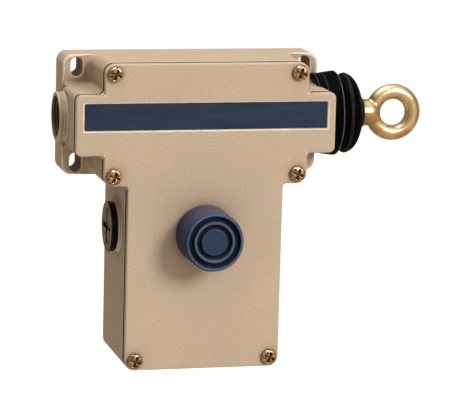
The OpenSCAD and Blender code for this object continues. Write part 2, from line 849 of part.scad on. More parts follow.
module terminal_clamps() {
    size = 4.8;
    color(brass)
        for (side = [-1, 1], way = [-1, 1])
            difference() {
                translate([side * contact_x + way * terminal_dx - size / 2, block_front + 0.1, terminal_z - size / 2])
                    cube([size, 1.2, size]);
                rod_along_y(
                    block_front - 1, block_front + 3, terminal_screw_r + fit,
                    side * contact_x + way * terminal_dx, terminal_z
                );
            }
}

// Plunger A goes down as the rope is pulled and plunger B comes up, so B has the longer stem
module contact_plunger(x, stem_drop) {
    shoulder = chamber_top - 1.2 - ramp * travel;
    translate([x, plunger_y, 0]) {
        translate([0, 0, tip_z]) sphere(r = tip_r);
        translate([0, 0, shoulder]) cylinder(h = tip_z - shoulder, r = tip_r);
        translate([0, 0, chamber_low - stem_drop]) cylinder(h = shoulder - chamber_low + stem_drop + 1, r = stem_r);
    }
}

module contact_plunger_a() {
    color([0.75, 0.2, 0.15]) contact_plunger(-contact_x, 1.4);
}

module contact_plunger_b() {
    color([0.75, 0.2, 0.15]) contact_plunger(contact_x, ramp * travel + 1.4);
}

module contact_bridge(x) {
    z = bridge_z;
    difference() {
        union() {
            translate([x - chamber_half + 0.7, plunger_y - 3, z])
                cube([2 * chamber_half - 1.4, 6, bridge_t]);
            // Silver contact tips on both ends
            for (side = [-1, 1])
                translate([x + side * (chamber_half - 2.2), plunger_y, z - 0.6]) cylinder(h = 1.2 + bridge_t, r = 1.2);
        }
        translate([x, plunger_y, z - 2]) cylinder(h = 5, r = stem_r + fit);
    }
}

module contact_bridge_a() {
    color(brass) contact_bridge(-contact_x);
}

module contact_bridge_b() {
    color(brass) contact_bridge(contact_x);
}

module contact_springs() {
    wire = 0.5;
    color(steel)
        for (side = [-1, 1])
            translate([side * contact_x, plunger_y, chamber_low + soft_gap])
                coil(stem_r + 0.7, wire, bridge_z - chamber_low - 2 * soft_gap - 0.6, 4, 12, 6);
}

module reset_barrel() {
    color(steel)
        difference() {
            union() {
                rod_along_y(face_y - flange_t, barrel_back, barrel_r - fit, 0, button_z);
                rod_along_y(face_y - flange_t, face_y - 0.8, boot_d / 2 - boot_t - 0.5, 0, button_z);
            }
            rod_along_y(face_y - flange_t - 1, barrel_back + 1, plunger_bore, 0, button_z);
            // Counterbore for the return spring
            rod_along_y(face_y - flange_t - 1, face_y + 2, head_r - 0.8, 0, button_z);
        }
}

module reset_seal() {
    color(black)
        ring_along_y(face_y - 0.8, face_y, boot_d / 2 - boot_t - 0.6, barrel_r, 0, button_z);
}

module reset_nut() {
    nut_d = barrel_d + 6;
    notches = 6;
    color(steel)
        difference() {
            ring_along_y(cover_y, cover_y + 4, nut_d / 2, barrel_r, 0, button_z);
            translate([0, cover_y + 2, button_z])
                for (i = [0 : notches - 1])
                    rotate([0, i * 360 / notches, 0])
                        translate([nut_d / 2 - 1.2, 0, -1.5]) cube([3, 4, 3]);
        }
}

module reset_plunger() {
    collar_back = barrel_back - press - 2;
    color(blue)
        translate([0, 0, button_z])
            rotate([90, 0, 0])
                rotate_extrude()
                    polygon([
                        [0, -lever_face_y + soft_gap + 0.5], [pusher_r - 1, -lever_face_y + soft_gap],
                        [pusher_r, -lever_face_y + soft_gap + 1], [pusher_r, -collar_back],
                        [plunger_bore - run_gap, -collar_back], [plunger_bore - run_gap, -head_back],
                        [head_r, -head_back], [head_r, -head_y - 1], [head_r - 1, -head_y], [0, -head_y],
                    ]);
}

module reset_spring() {
    front = head_back + soft_gap;
    back = face_y + 2 - soft_gap;
    wire = 1;
    color(steel)
        translate([0, back, button_z])
            rotate([90, 0, 0])
                coil(plunger_bore + 1.1, wire, back - front, 3.5, 16, 8);
}

// The boot's face has a rim, a raised ring and a disc, with grooves between them
module reset_boot() {
    r = boot_d / 2;
    front = box_d + boot_l;
    groove = boot_roof - 1.2;
    inside_r = r - boot_t;
    foot = box_d + soft_gap;
    color(blue)
        translate([0, 0, button_z])
            rotate([90, 0, 0])
                rotate_extrude()
                    polygon([
                        [0, front - 0.7], [0.5 * r, front - 0.7], [0.5 * r, front - groove], [0.63 * r, front - groove],
                        [0.65 * r, front - 0.4], [0.74 * r, front - 0.4], [0.76 * r, front - groove],
                        [0.88 * r, front - groove], [0.9 * r, front - 0.2], [0.94 * r, front],
                        [0.97 * r, front - 0.3], [r, front - 1.2], [r, foot + 1], [r, foot],
                        [inside_r + 0.1, foot], [inside_r, -head_y + soft_gap], [0, -head_y + soft_gap],
                    ]);
}

// The lever turns about the pin: its nose is under the cam and its long arm hangs behind the button
module latch_lever() {
    half = latch_w / 2;
    hub_r = pivot_r + 1.8;
    nose_top = cam_z - 2 * soft_gap;
    foot = button_z - 5;
    color(steel)
        difference() {
            union() {
                rod_along_x(-half, half, hub_r, pivot_y, pivot_z);
                rotate([90, 0, 90])
                    translate([0, 0, -half])
                        linear_extrude(height = 2 * half) {
                            polygon([
                                [pivot_y - 1, pivot_z - 2.5], [pivot_y + 1.5, pivot_z + 2], [rod_y + 4, nose_top],
                                [rod_y - 1, nose_top], [rod_y - 1, nose_top - 2.5], [rod_y + 3, nose_top - 3.5],
                            ]);
                            translate([lever_face_y, foot]) square([lever_t, pivot_z - foot]);
                            translate([lever_face_y, pivot_z - hub_r]) square([pivot_y - lever_face_y, 2 * hub_r]);
                        }
            }
            rod_along_x(-half - 1, half + 1, pivot_r + run_gap, pivot_y, pivot_z);
        }
}

module latch_pin() {
    color(steel)
        rod_along_x(-ear_x - bracket_t - 0.4, ear_x + bracket_t + 0.4, pivot_r, pivot_y, pivot_z);
}

module latch_spring() {
    wire = 0.6;
    back = bracket_y - soft_gap;
    front = lever_face_y + lever_t + soft_gap;
    color(steel)
        translate([0, back, latch_spring_z])
            rotate([90, 0, 0])
                coil(2.6, wire, back - front, 3, 14, 6);
}

earth_up = 22;                              // height above the foot of the leg
earth_place = [18, foot_z + earth_up];
earth_r = 5;
earth_post_h = 8;
earth_y = -wall - earth_post_h;
earth_washer = 9;
earth_washer_t = 1.2;

module earth_screw() {
    color(brass)
        translate([earth_place[0], earth_y - earth_washer_t, earth_place[1]])
            flat_screw(screw_d / 2, earth_post_h, 3.6, 2.4);
}

module earth_clamp() {
    size = earth_washer;
    color(brass)
        difference() {
            translate([earth_place[0] - size / 2, earth_y - earth_washer_t, earth_place[1] - size / 2])
                cube([size, earth_washer_t, size]);
            rod_along_y(earth_y - 3, earth_y + 1, screw_hole_r, earth_place[0], earth_place[1]);
        }
}

housing();
cover();
cover_gasket();
cover_screws();
label_strip();
blanking_plug();
plug_seal();
bellows();
bellows_clamp();
right_guide_bush();
left_guide_bush();
shaft_seal();
mechanism_bracket();
bracket_screws();
pull_shaft();
eyebolt();
eyebolt_lock_nut();
spring_collar();
collar_pin();
cam_slide();
cam_pin();
main_spring();
contact_block_a();
contact_block_b();
contact_block_screws();
terminal_screws();
terminal_clamps();
contact_plunger_a();
contact_plunger_b();
contact_bridge_a();
contact_bridge_b();
contact_springs();
reset_barrel();
reset_seal();
reset_nut();
reset_plunger();
reset_spring();
reset_boot();
latch_lever();
latch_pin();
latch_spring();
earth_screw();
earth_clamp();
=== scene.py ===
# %% [markdown]
# # A rope pull switch, dressed on its mechanical frame
# The frame holds every part of the switch at its true size, with its joints.
# This script gives the parts the rounded edges, the rubber and the finishes of the real thing.
# One unit is one metre. X runs along the rope, Y runs back into the wall and Z is up.

import json
import math

import bmesh
import bpy
from mathutils import Matrix, Vector

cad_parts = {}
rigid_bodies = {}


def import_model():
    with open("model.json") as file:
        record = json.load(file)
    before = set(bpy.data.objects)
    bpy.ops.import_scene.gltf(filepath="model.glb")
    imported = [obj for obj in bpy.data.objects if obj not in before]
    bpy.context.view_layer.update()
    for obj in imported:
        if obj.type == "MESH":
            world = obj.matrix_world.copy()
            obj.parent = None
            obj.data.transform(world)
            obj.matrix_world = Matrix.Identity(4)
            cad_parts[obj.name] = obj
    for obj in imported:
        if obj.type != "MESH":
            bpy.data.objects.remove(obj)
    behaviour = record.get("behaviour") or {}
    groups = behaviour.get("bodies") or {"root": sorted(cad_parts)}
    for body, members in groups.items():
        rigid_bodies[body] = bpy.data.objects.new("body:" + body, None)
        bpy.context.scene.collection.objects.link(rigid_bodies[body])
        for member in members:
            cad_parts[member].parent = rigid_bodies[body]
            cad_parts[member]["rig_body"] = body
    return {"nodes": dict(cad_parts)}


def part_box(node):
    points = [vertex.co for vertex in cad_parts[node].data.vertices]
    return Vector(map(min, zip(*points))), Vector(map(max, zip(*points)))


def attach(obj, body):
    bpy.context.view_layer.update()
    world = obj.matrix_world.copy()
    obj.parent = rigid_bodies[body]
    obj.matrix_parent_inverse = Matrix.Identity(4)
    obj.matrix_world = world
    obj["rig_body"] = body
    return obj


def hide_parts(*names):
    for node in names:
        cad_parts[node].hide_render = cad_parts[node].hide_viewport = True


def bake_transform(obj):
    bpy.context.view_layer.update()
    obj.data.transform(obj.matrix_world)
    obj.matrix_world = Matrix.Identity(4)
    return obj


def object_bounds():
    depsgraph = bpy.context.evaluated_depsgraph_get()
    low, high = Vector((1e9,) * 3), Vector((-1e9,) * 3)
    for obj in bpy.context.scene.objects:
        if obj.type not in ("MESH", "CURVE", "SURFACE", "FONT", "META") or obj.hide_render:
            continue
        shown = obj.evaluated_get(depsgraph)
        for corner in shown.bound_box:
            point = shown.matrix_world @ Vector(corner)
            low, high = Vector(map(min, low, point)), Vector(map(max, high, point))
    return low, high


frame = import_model()
cad_low, cad_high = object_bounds()
print("parts in the frame:", len(frame["nodes"]))
print("size in mm:", [round(1000 * side, 1) for side in cad_high - cad_low])

# %% [markdown]
# ## The camera
# The switch is seen from a little to the left and a little above, from over a metre away.
# A long lens keeps the box's edges nearly parallel. A short one, close up, would spread them.

# %% Place the camera
camera_place = Vector((-0.3181, -1.3490, 0.2093))
azimuth = math.radians(-14.37)
elevation = math.radians(10.67)
roll = math.radians(1.47)

forward = Vector((
    -math.sin(azimuth) * math.cos(elevation),
    math.cos(azimuth) * math.cos(elevation),
    -math.sin(elevation),
))
level_right = Vector((math.cos(azimuth), math.sin(azimuth), 0.0))
level_up = level_right.cross(forward)
right = math.cos(roll) * level_right + math.sin(roll) * level_up
up = math.cos(roll) * level_up - math.sin(roll) * level_right
turn = Matrix((right, up, -forward)).transposed()

camera = bpy.data.objects.new("camera", bpy.data.cameras.new("camera"))
bpy.context.scene.collection.objects.link(camera)
camera.matrix_world = Matrix.Translation(camera_place) @ turn.to_4x4()
camera.data.sensor_width = 36.0
camera.data.lens = 214.9
camera.data.clip_start = 0.05
camera.data.clip_end = 50.0
bpy.context.scene.camera = camera
bpy.context.scene.view_settings.view_transform = "Standard"
print("distance from the camera to the box:", round(camera_place.length, 3), "m")

# %% [markdown]
# ## Colours and shader helpers
# Colours are written as they look on a screen, from 0 to 255, and turned into the linear
# values that a shader works with.

# %% Write a colour
def channel(value):
    value = value / 255
    return value / 12.92 if value <= 0.04045 else ((value + 0.055) / 1.055) ** 2.4


def colour(red, green, blue):
    return (channel(red), channel(green), channel(blue), 1.0)


print("a mid grey is", round(channel(128), 3), "in linear light")

# %% [markdown]
# Each finish starts as an empty material with the numbers that hold all over it.
# The index sets how much a surface mirrors at a shallow angle. It is low for dusty rubber and
# matt paint, which would look milky from the side otherwise, and higher for clean plastic.

# %% Start a finish
finishes = {}


def new_finish(name, roughness=0.5, metallic=0.0, index=1.5):
    """An empty material with one roughness, one share of metal and one index."""
    material = bpy.data.materials.new(name)
    material.use_nodes = True
    shader = material.node_tree.nodes["Principled BSDF"]
    shader.inputs["IOR"].default_value = index
    shader.inputs["Roughness"].default_value = roughness
    shader.inputs["Metallic"].default_value = metallic
    return material


def finish(material, base=None, roughness=None, normal=None):
    """Plugs the finished layers into the shader."""
    shader = material.node_tree.nodes["Principled BSDF"]
    for name, value in (("Base Color", base), ("Roughness", roughness), ("Normal", normal)):
        if value is not None:
            material.node_tree.links.new(value, shader.inputs[name])
    return material


print("finishes at the start:", len(finishes))

# %% [markdown]
# Real surfaces vary from place to place. A picture could be wrapped round each part, but it
# would have to be unfolded first and would blur close up. Noise is worked out in the part's own
# space instead. Its sizes are metres on the object, so a grain keeps its true scale everywhere.

# %% Make patterns
def spots(material, size, detail=2.0, stretch=(1.0, 1.0, 1.0)):
    """Noise whose blotches are about as wide as the given size; gives values round 0.5."""
    nodes, links = material.node_tree.nodes, material.node_tree.links
    place = nodes.new("ShaderNodeTexCoord")
    mapping = nodes.new("ShaderNodeMapping")
    mapping.inputs["Scale"].default_value = stretch
    pattern = nodes.new("ShaderNodeTexNoise")
    pattern.inputs["Scale"].default_value = 1.0 / size
    pattern.inputs["Detail"].default_value = detail
    links.new(place.outputs["Object"], mapping.inputs["Vector"])
    links.new(mapping.outputs["Vector"], pattern.inputs["Vector"])
    return pattern.outputs["Fac"]


def spread(material, value, low, high, to_low=0.0, to_high=1.0, smooth=False):
    """Stretches a value so that low becomes to_low and high becomes to_high."""
    mapper = material.node_tree.nodes.new("ShaderNodeMapRange")
    if smooth:
        mapper.interpolation_type = "SMOOTHSTEP"
    ends = {"From Min": low, "From Max": high, "To Min": to_low, "To Max": to_high}
    for name, end in ends.items():
        mapper.inputs[name].default_value = end
    material.node_tree.links.new(value, mapper.inputs["Value"])
    return mapper.outputs["Result"]


def eased(material, mask, most):
    """Turns a mask down, so that its strongest place gives only the given share."""
    return spread(material, mask, 0.0, 1.0, 0.0, most)


print("a grain of 1 mm is noise at scale", round(1.0 / 0.001))

# %% [markdown]
# Colours are laid over each other as a painter would lay them, each where its mask is high.
# Fine relief is a bump in the shading, since as real faces it would take millions of them.

# %% Lay layers and relief
def worked(material, operation, first, second):
    """One step of arithmetic with two values, of which the second may be a plain number."""
    node = material.node_tree.nodes.new("ShaderNodeMath")
    node.operation = operation
    material.node_tree.links.new(first, node.inputs[0])
    if isinstance(second, float):
        node.inputs[1].default_value = second
    else:
        material.node_tree.links.new(second, node.inputs[1])
    return node.outputs["Value"]


def times(material, first, second):
    """High only where both masks are high."""
    return worked(material, "MULTIPLY", first, second)


def layered(material, amount, under, over):
    """Lays one colour over another where the amount is high."""
    mixer = material.node_tree.nodes.new("ShaderNodeMix")
    mixer.data_type = "RGBA"
    material.node_tree.links.new(amount, mixer.inputs[0])
    for socket, value in ((mixer.inputs[6], under), (mixer.inputs[7], over)):
        if isinstance(value, tuple):
            socket.default_value = value
        else:
            material.node_tree.links.new(value, socket)
    return mixer.outputs[2]


def dimmed(tone, share):
    """The same colour with only a share of its light."""
    return tuple(share * part for part in tone[:3]) + (1.0,)


def relief(material, height, depth, strength=1.0, over=None):
    """Raises and lowers the surface by the given depth; gives the normal."""
    bump = material.node_tree.nodes.new("ShaderNodeBump")
    bump.inputs["Strength"].default_value = strength
    bump.inputs["Distance"].default_value = depth
    material.node_tree.links.new(height, bump.inputs["Height"])
    if over is not None:
        material.node_tree.links.new(over, bump.inputs["Normal"])
    return bump.outputs["Normal"]


print("half of a mid grey is", round(dimmed(colour(128, 128, 128), 0.5)[0], 3))

# %% [markdown]
# Wear, dirt and painted light follow the shape of a part. Rounded edges carry a mark from when
# they are made, which gives them rubbed wear and painted highlights. A corner is known by how much
# of the room it can't see, which gives it dirt and painted shade, and a side by the way it points.
# Painting these by hand on each part would also work, but it would have to be done again
# whenever a size changes.

# %% Find edges, corners and sides
def rounding(material):
    """1 on the rounded edges that the rounding step marks and 0 on the faces between them."""
    mark = material.node_tree.nodes.new("ShaderNodeAttribute")
    mark.attribute_name = "rubbed_and_lit"
    return mark.outputs["Fac"]


def crevices(material, reach, wide=0.95, tight=0.35):
    """1 deep in a corner or a hole and 0 out in the open."""
    shade = material.node_tree.nodes.new("ShaderNodeAmbientOcclusion")
    shade.samples = 4
    shade.inputs["Distance"].default_value = reach
    return spread(material, shade.outputs["AO"], wide, tight)


def facing(material, axis, start, full):
    """A mask of the faces that point along an axis, 0 at start and 1 at full."""
    faces = material.node_tree.nodes.new("ShaderNodeNewGeometry")
    way = material.node_tree.nodes.new("ShaderNodeSeparateXYZ")
    material.node_tree.links.new(faces.outputs["Normal"], way.inputs["Vector"])
    return spread(material, way.outputs[axis], start, full)


print("helpers for wear and dirt:", [helper.__name__ for helper in (rounding, crevices, facing)])

# %% [markdown]
# ## Paint on the casting
# The box is a die casting with a coat of warm beige paint. The colour is never quite even: it
# has faint clouds, grain and specks. Its rounded edges are painted lighter, partly as rubbed paint
# and partly as painted highlights, and its corners, hollows and seams are painted darker, partly
# as dirt and partly as painted shade. One flat colour would be quicker, but it looks like plastic.

# %% Mix the paint
paint = new_finish("painted_casting", index=1.27)
clouds = spread(paint, spots(paint, 0.030, 2.0), 0.3, 0.7)
paint_colour = layered(paint, clouds, colour(205, 182, 158), colour(211, 188, 164))
grain = spread(paint, spots(paint, 0.0010, 4.0), 0.35, 0.65, 0.0, 0.6)
paint_colour = layered(paint, grain, paint_colour, colour(188, 166, 141))
specks = spread(paint, spots(paint, 0.0021, 3.0), 0.62, 0.75, 0.0, 0.35)
paint_colour = layered(paint, specks, paint_colour, colour(180, 158, 132))
print("even layers of paint:", len(paint.node_tree.nodes), "nodes")

# %% Add dirt, wear, painted shade and painted highlights to the paint
# Painted shade: corners and the gap of the cover's seam get a dark brown, partly dust.
patches = spread(paint, spots(paint, 0.006), 0.2, 0.5, 0.4, 1.0)
dust_and_painted_light = eased(paint, times(paint, crevices(paint, 0.006), patches), 0.5)
paint_colour = layered(paint, dust_and_painted_light, paint_colour, colour(118, 100, 76))
# Painted shade: deep hollows, such as the ear pockets and the foot of the boot, are painted darker.
hollow = eased(paint, crevices(paint, 0.030), 0.34)
paint_colour = layered(paint, hollow, paint_colour, colour(128, 104, 76))
# Painted shade: tight gaps, such as the joint round the cover, are painted nearly black.
painted_seam_shade = eased(paint, crevices(paint, 0.0016, 0.62, 0.30), 0.9)
paint_colour = layered(paint, painted_seam_shade, paint_colour, colour(52, 42, 32))
# Painted highlights: the marked rounded edges are painted near white, partly as rubbed paint.
patches = spread(paint, spots(paint, 0.004, 4.0), 0.3, 0.6, 0.45, 1.0)
wear_and_highlight = eased(paint, times(paint, rounding(paint), patches), 0.85)
paint_colour = layered(paint, wear_and_highlight, paint_colour, colour(250, 240, 224))
print("with dirt and wear:", len(paint.node_tree.nodes), "nodes")

# %% [markdown]
# ## The thread in the end entry
# The entry for the cable is threaded after the painting, so its wall is bare metal. Its dark
# colour is painted shade deep in the bore, and the light bands are painted highlights on the turns
# of the thread. Real turns could be cut as geometry, but they are only seen at a slant and in
# shadow, so bands of colour do. A mask picks out the wall by its distance from the rope's axis,
# on which the entry lies too.

# %% Cut the thread
rope_y = -0.022
bore_radius = 0.0104
thread_start = -0.0550
thread_pitch = 0.0015


def moved(material, operation, place, amount=None, result="Vector"):
    """One step of arithmetic with a place in space."""
    node = material.node_tree.nodes.new("ShaderNodeVectorMath")
    node.operation = operation
    material.node_tree.links.new(place, node.inputs[0])
    if amount:
        node.inputs[1].default_value = amount
    return node.outputs[result]


place = paint.node_tree.nodes.new("ShaderNodeTexCoord").outputs["Object"]
from_axis = moved(paint, "SUBTRACT", place, (0.0, rope_y, 0.0))
across_axis = moved(paint, "MULTIPLY", from_axis, (0.0, 1.0, 1.0))
off_axis = moved(paint, "LENGTH", across_axis, result="Value")
along_axis = paint.node_tree.nodes.new("ShaderNodeSeparateXYZ")
paint.node_tree.links.new(place, along_axis.inputs["Vector"])
in_bore = spread(paint, off_axis, bore_radius + 0.00002, bore_radius - 0.0001)
at_end = spread(paint, along_axis.outputs["X"], thread_start, thread_start - 0.0006)
bands = paint.node_tree.nodes.new("ShaderNodeTexWave")
bands.inputs["Scale"].default_value = 2.0 * math.pi / 20.0 / thread_pitch
paint.node_tree.links.new(place, bands.inputs["Vector"])
# Painted shade and highlights: a dark wall for the shade in the bore and light bands for the turns.
thread = layered(paint, bands.outputs["Fac"], colour(46, 38, 28), colour(132, 114, 88))
paint_colour = layered(paint, times(paint, in_bore, at_end), paint_colour, thread)
print("pitch of the thread in mm:", 1000 * thread_pitch)

# %% [markdown]
# ## The surface of the paint
# Paint on a casting isn't quite flat. It has the soft ripple of the spray and, under it, the
# finer grain of the metal. Two reliefs of different sizes give the two, and the gloss changes
# a little from place to place.

# %% Finish the paint
paint_normal = relief(paint, spots(paint, 0.0016, 1.0), 0.00004, 0.6)
paint_normal = relief(paint, spots(paint, 0.00045, 3.0), 0.00002, 0.5, paint_normal)
paint_rough = spread(paint, spots(paint, 0.010, 3.0), 0.3, 0.7, 0.42, 0.56)
finishes["painted_casting"] = finish(paint, paint_colour, paint_rough, paint_normal)
print("paint ready:", len(paint.node_tree.nodes), "nodes")

# %% [markdown]
# ## The label strip
# The strip is a navy film with a satin surface, stuck into the sunk field of the cover.
# It stays bare. Film like this shows a faint lengthwise grain and small scuffs, so its noise is
# stretched along the strip.

# %% Mix the label's film
film = new_finish("label_film", index=1.35)
grain = spread(film, spots(film, 0.0012, 3.0, (0.06, 1.0, 1.0)), 0.3, 0.7)
film_colour = layered(film, grain, colour(31, 45, 71), colour(39, 54, 83))
scuffs = spread(film, spots(film, 0.0030, 5.0, (0.25, 1.0, 1.0)), 0.66, 0.80, 0.0, 0.4)
film_colour = layered(film, scuffs, film_colour, colour(84, 98, 120))
film_rough = spread(film, spots(film, 0.008, 3.0), 0.3, 0.7, 0.34, 0.46)
film_normal = relief(film, spots(film, 0.0005, 2.0, (0.2, 1.0, 1.0)), 0.000008, 0.5)
finishes["label_blue"] = finish(film, film_colour, film_rough, film_normal)
print("label film:", len(film.node_tree.nodes), "nodes")

# %% [markdown]
# ## Rubbers
# The bellows is black rubber with a dull bloom, the gasket and seals are plainer and darker,
# and the button's boot is slate blue. Moulded rubber has fine pits. Its grooves and corners are
# painted nearly black as painted shade, and its crests get a pale colour as painted highlights.
# The button's face is painted lighter than its sides, partly as polish by hands and partly as
# painted light on the front, and its upper side is painted paler, partly as dust and partly as
# painted light from above.
# They differ in tone and gloss but not in kind, so one function mixes all three.

# %% Mix the rubbers
def rubber(name, body, bloom, gloss, index, shade, rim=None, handled_and_lit_front=None, dust_and_painted_light=None):
    """A rubber with its cloudy bloom; gloss gives its lowest and highest roughness."""
    made = new_finish(name, index=index)
    cloud = spread(made, spots(made, 0.007, 4.0), 0.42, 0.72, 0.0, 0.5)
    tone = layered(made, cloud, body, bloom)
    # Painted light: faces that point to the front get a lighter colour, partly polish by hands and
    # partly painted light on the front.
    if handled_and_lit_front:
        tone = layered(made, facing(made, "Y", -0.80, -0.97), tone, handled_and_lit_front)
    # Painted shade: grooves and corners are painted nearly black.
    corners = eased(made, crevices(made, 0.003, 0.92, 0.60), shade)
    tone = layered(made, corners, tone, dimmed(body, 0.08))
    # Painted light: upward faces get a paler colour, partly dust and partly painted light from above.
    if dust_and_painted_light:
        thin = spread(made, spots(made, 0.0020, 4.0), 0.3, 0.65, 0.15, 0.50)
        tone = layered(made, times(made, facing(made, "Z", 0.30, 0.95), thin), tone, dust_and_painted_light)
    # Painted highlights: the marked crests and rims get a pale colour.
    if rim:
        patches = spread(made, spots(made, 0.003, 3.0), 0.3, 0.6, 0.5, 1.0)
        tone = layered(made, times(made, rounding(made), patches), tone, rim)
    normal = relief(made, spots(made, 0.0005, 3.0), 0.00003, 0.5)
    normal = relief(made, spots(made, 0.004, 2.0), 0.00010, 0.25, normal)
    rough = spread(made, spots(made, 0.003, 3.0), 0.3, 0.7, *gloss)
    return finish(made, tone, rough, normal)


finishes["black_rubber"] = rubber(
    "black_rubber", colour(6, 6, 7), colour(11, 11, 12), (0.40, 0.52), 1.07, 0.8,
    rim=colour(96, 94, 92),
)
finishes["dark_rubber"] = rubber(
    "dark_rubber", colour(20, 18, 16), colour(34, 30, 26), (0.6, 0.8), 1.15, 0.8
)
finishes["blue_rubber"] = rubber(
    "blue_rubber", colour(34, 46, 74), colour(44, 56, 84), (0.32, 0.46), 1.11, 1.0,
    rim=colour(92, 102, 128), handled_and_lit_front=colour(51, 65, 94), dust_and_painted_light=colour(112, 110, 128),
)
soft = finishes["blue_rubber"].node_tree.nodes["Principled BSDF"]
soft.inputs["Sheen Weight"].default_value = 0.04
soft.inputs["Sheen Roughness"].default_value = 0.4
soft.inputs["Sheen Tint"].default_value = (0.62, 0.60, 0.90, 1.0)
print("rubbers:", [name for name in finishes if "rubber" in name])

# %% [markdown]
# ## Plastics
# The plug is black glass-filled nylon. Its outer face is painted grey, partly as scuffs by hands
# and drivers and partly as a painted reflection of the bright room at a shallow angle; its rim
# and its cross stay black. The contact blocks inside are the same black with a light gloss, their
# plungers red, and the button's plunger blue. The grey sits only on faces that point outwards
# to the left, so one material does for the whole plug.

# %% Mix the plastics
def plastic(name, body, streak, gloss, index=1.5, scuffs_and_reflection=None):
    """A moulded plastic with faint flow streaks; its rounded edges are painted lighter, partly as
    rubbing and partly as painted highlights.
    """
    made = new_finish(name, index=index)
    flow = spread(made, spots(made, 0.004, 4.0, (1.0, 0.35, 1.0)), 0.40, 0.72)
    tone = layered(made, flow, body, streak)
    # Painted reflection: faces that point out to the left get a grey, partly scuffs; corners and
    # grooves keep the black.
    if scuffs_and_reflection:
        patches = spread(made, spots(made, 0.003, 4.0), 0.3, 0.5)
        tone = layered(made, times(made, facing(made, "X", -0.6, -0.9), patches), tone, scuffs_and_reflection)
        tone = layered(made, crevices(made, 0.002, 0.9, 0.5), tone, body)
    # Painted highlights: the marked rounded edges get a lighter colour, partly rubbed.
    rubbed_and_highlight = times(made, rounding(made), spread(made, spots(made, 0.002, 3.0), 0.4, 0.7))
    light = tuple(min(1.0, 1.8 * part + 0.01) for part in body[:3]) + (1.0,)
    tone = layered(made, rubbed_and_highlight, tone, light)
    normal = relief(made, spots(made, 0.0006, 3.0), 0.00002, 0.4)
    rough = spread(made, spots(made, 0.002, 3.0), 0.3, 0.7, *gloss)
    return finish(made, tone, rough, normal)


for name, body, streak, gloss in (
    ("black_plastic", colour(9, 9, 8), colour(17, 16, 14), (0.20, 0.32)),
    ("blue_plastic", colour(50, 66, 104), colour(60, 76, 116), (0.4, 0.55)),
    ("red_plastic", colour(178, 62, 48), colour(190, 74, 58), (0.4, 0.55)),
):
    finishes[name] = plastic(name, body, streak, gloss)
finishes["plug_plastic"] = plastic(
    "plug_plastic", colour(8, 8, 7), colour(15, 14, 13), (0.26, 0.38), 1.22, colour(146, 136, 123)
)
print("plastics:", [name for name in finishes if "plastic" in name])

# %% [markdown]
# ## Metals
# The eyebolt and the cover screws are zinc plated and yellow passivated. The yellow film is
# thinner and thicker from place to place, so the gold drifts to straw, green and copper.
# The eye's hollow and its underside are painted brown, partly as aged plating where wet stays
# longest and partly as painted shade.
# The other metals are plain: bright turned steel, zinc plated steel, spring wire, bronze and
# the grey of a machined casting. All of them are one recipe with other numbers.

# %% Mix the metals
def metal(
    name, body, tint, gloss, drift=0.006, stretch=(1, 1, 1), pit=0.00003, tight=0.35, aged_and_shaded=None
):
    """A metal whose tone drifts over the given distance; the last argument is a brown for the hollows
    and the underside, both old plating and painted shade.
    """
    made = new_finish(name, metallic=1.0)
    cloud = spread(made, spots(made, drift, 4.0), 0.35, 0.68)
    tone = layered(made, cloud, body, tint)
    # Painted shade: hollows and downward faces get a brown, partly aged plating.
    if aged_and_shaded:
        hollow_patina_and_shade = eased(made, crevices(made, 0.012, 0.90, 0.50), 0.80)
        tone = layered(made, hollow_patina_and_shade, tone, aged_and_shaded)
        underside_patina_and_shade = spread(made, spots(made, 0.0028, 4.0), 0.35, 0.62, 0.05, 0.40)
        tone = layered(made, times(made, facing(made, "Z", -0.2, -0.8), underside_patina_and_shade), tone, aged_and_shaded)
    # Painted shade: recesses, such as the screws' cross, are painted nearly black, partly dirt.
    dirt_and_recess_shade = eased(made, crevices(made, 0.0020, 0.95, tight), 0.95)
    tone = layered(made, dirt_and_recess_shade, tone, dimmed(body, 0.16))
    normal = relief(made, spots(made, 0.0007, 3.0, stretch), pit, 0.6)
    rough = spread(made, spots(made, 0.0015, 4.0, stretch), 0.3, 0.7, *gloss)
    return finish(made, tone, rough, normal)


for name, body, tint, gloss, more in (
    (
        "yellow_zinc", colour(255, 243, 204), colour(236, 190, 126), (0.27, 0.36),
        {"pit": 0.000005, "aged_and_shaded": colour(132, 84, 40)},
    ),
    (
        "screw_zinc", colour(250, 214, 170), colour(112, 68, 46), (0.20, 0.34),
        {"drift": 0.0016, "tight": 0.68},
    ),
    ("zinc_steel", colour(186, 190, 194), colour(170, 172, 172), (0.30, 0.45), {}),
    (
        "bright_steel", colour(200, 201, 203), colour(188, 188, 190), (0.16, 0.28),
        {"drift": 0.02, "stretch": (8.0, 0.4, 0.4), "pit": 0.00001},
    ),
    ("spring_steel", colour(150, 151, 155), colour(120, 118, 116), (0.28, 0.42), {}),
    ("bronze", colour(206, 170, 108), colour(176, 132, 80), (0.26, 0.40), {"drift": 0.004}),
    ("cast_alloy", colour(186, 187, 184), colour(168, 168, 164), (0.34, 0.5), {"drift": 0.003}),
):
    finishes[name] = metal(name, body, tint, gloss, **more)
print("finishes made:", len(finishes))

# %% [markdown]
# ## Which part has which finish
# Every part that keeps its own solid gets its finish here. Parts that are made again below
# take the same finish by name.

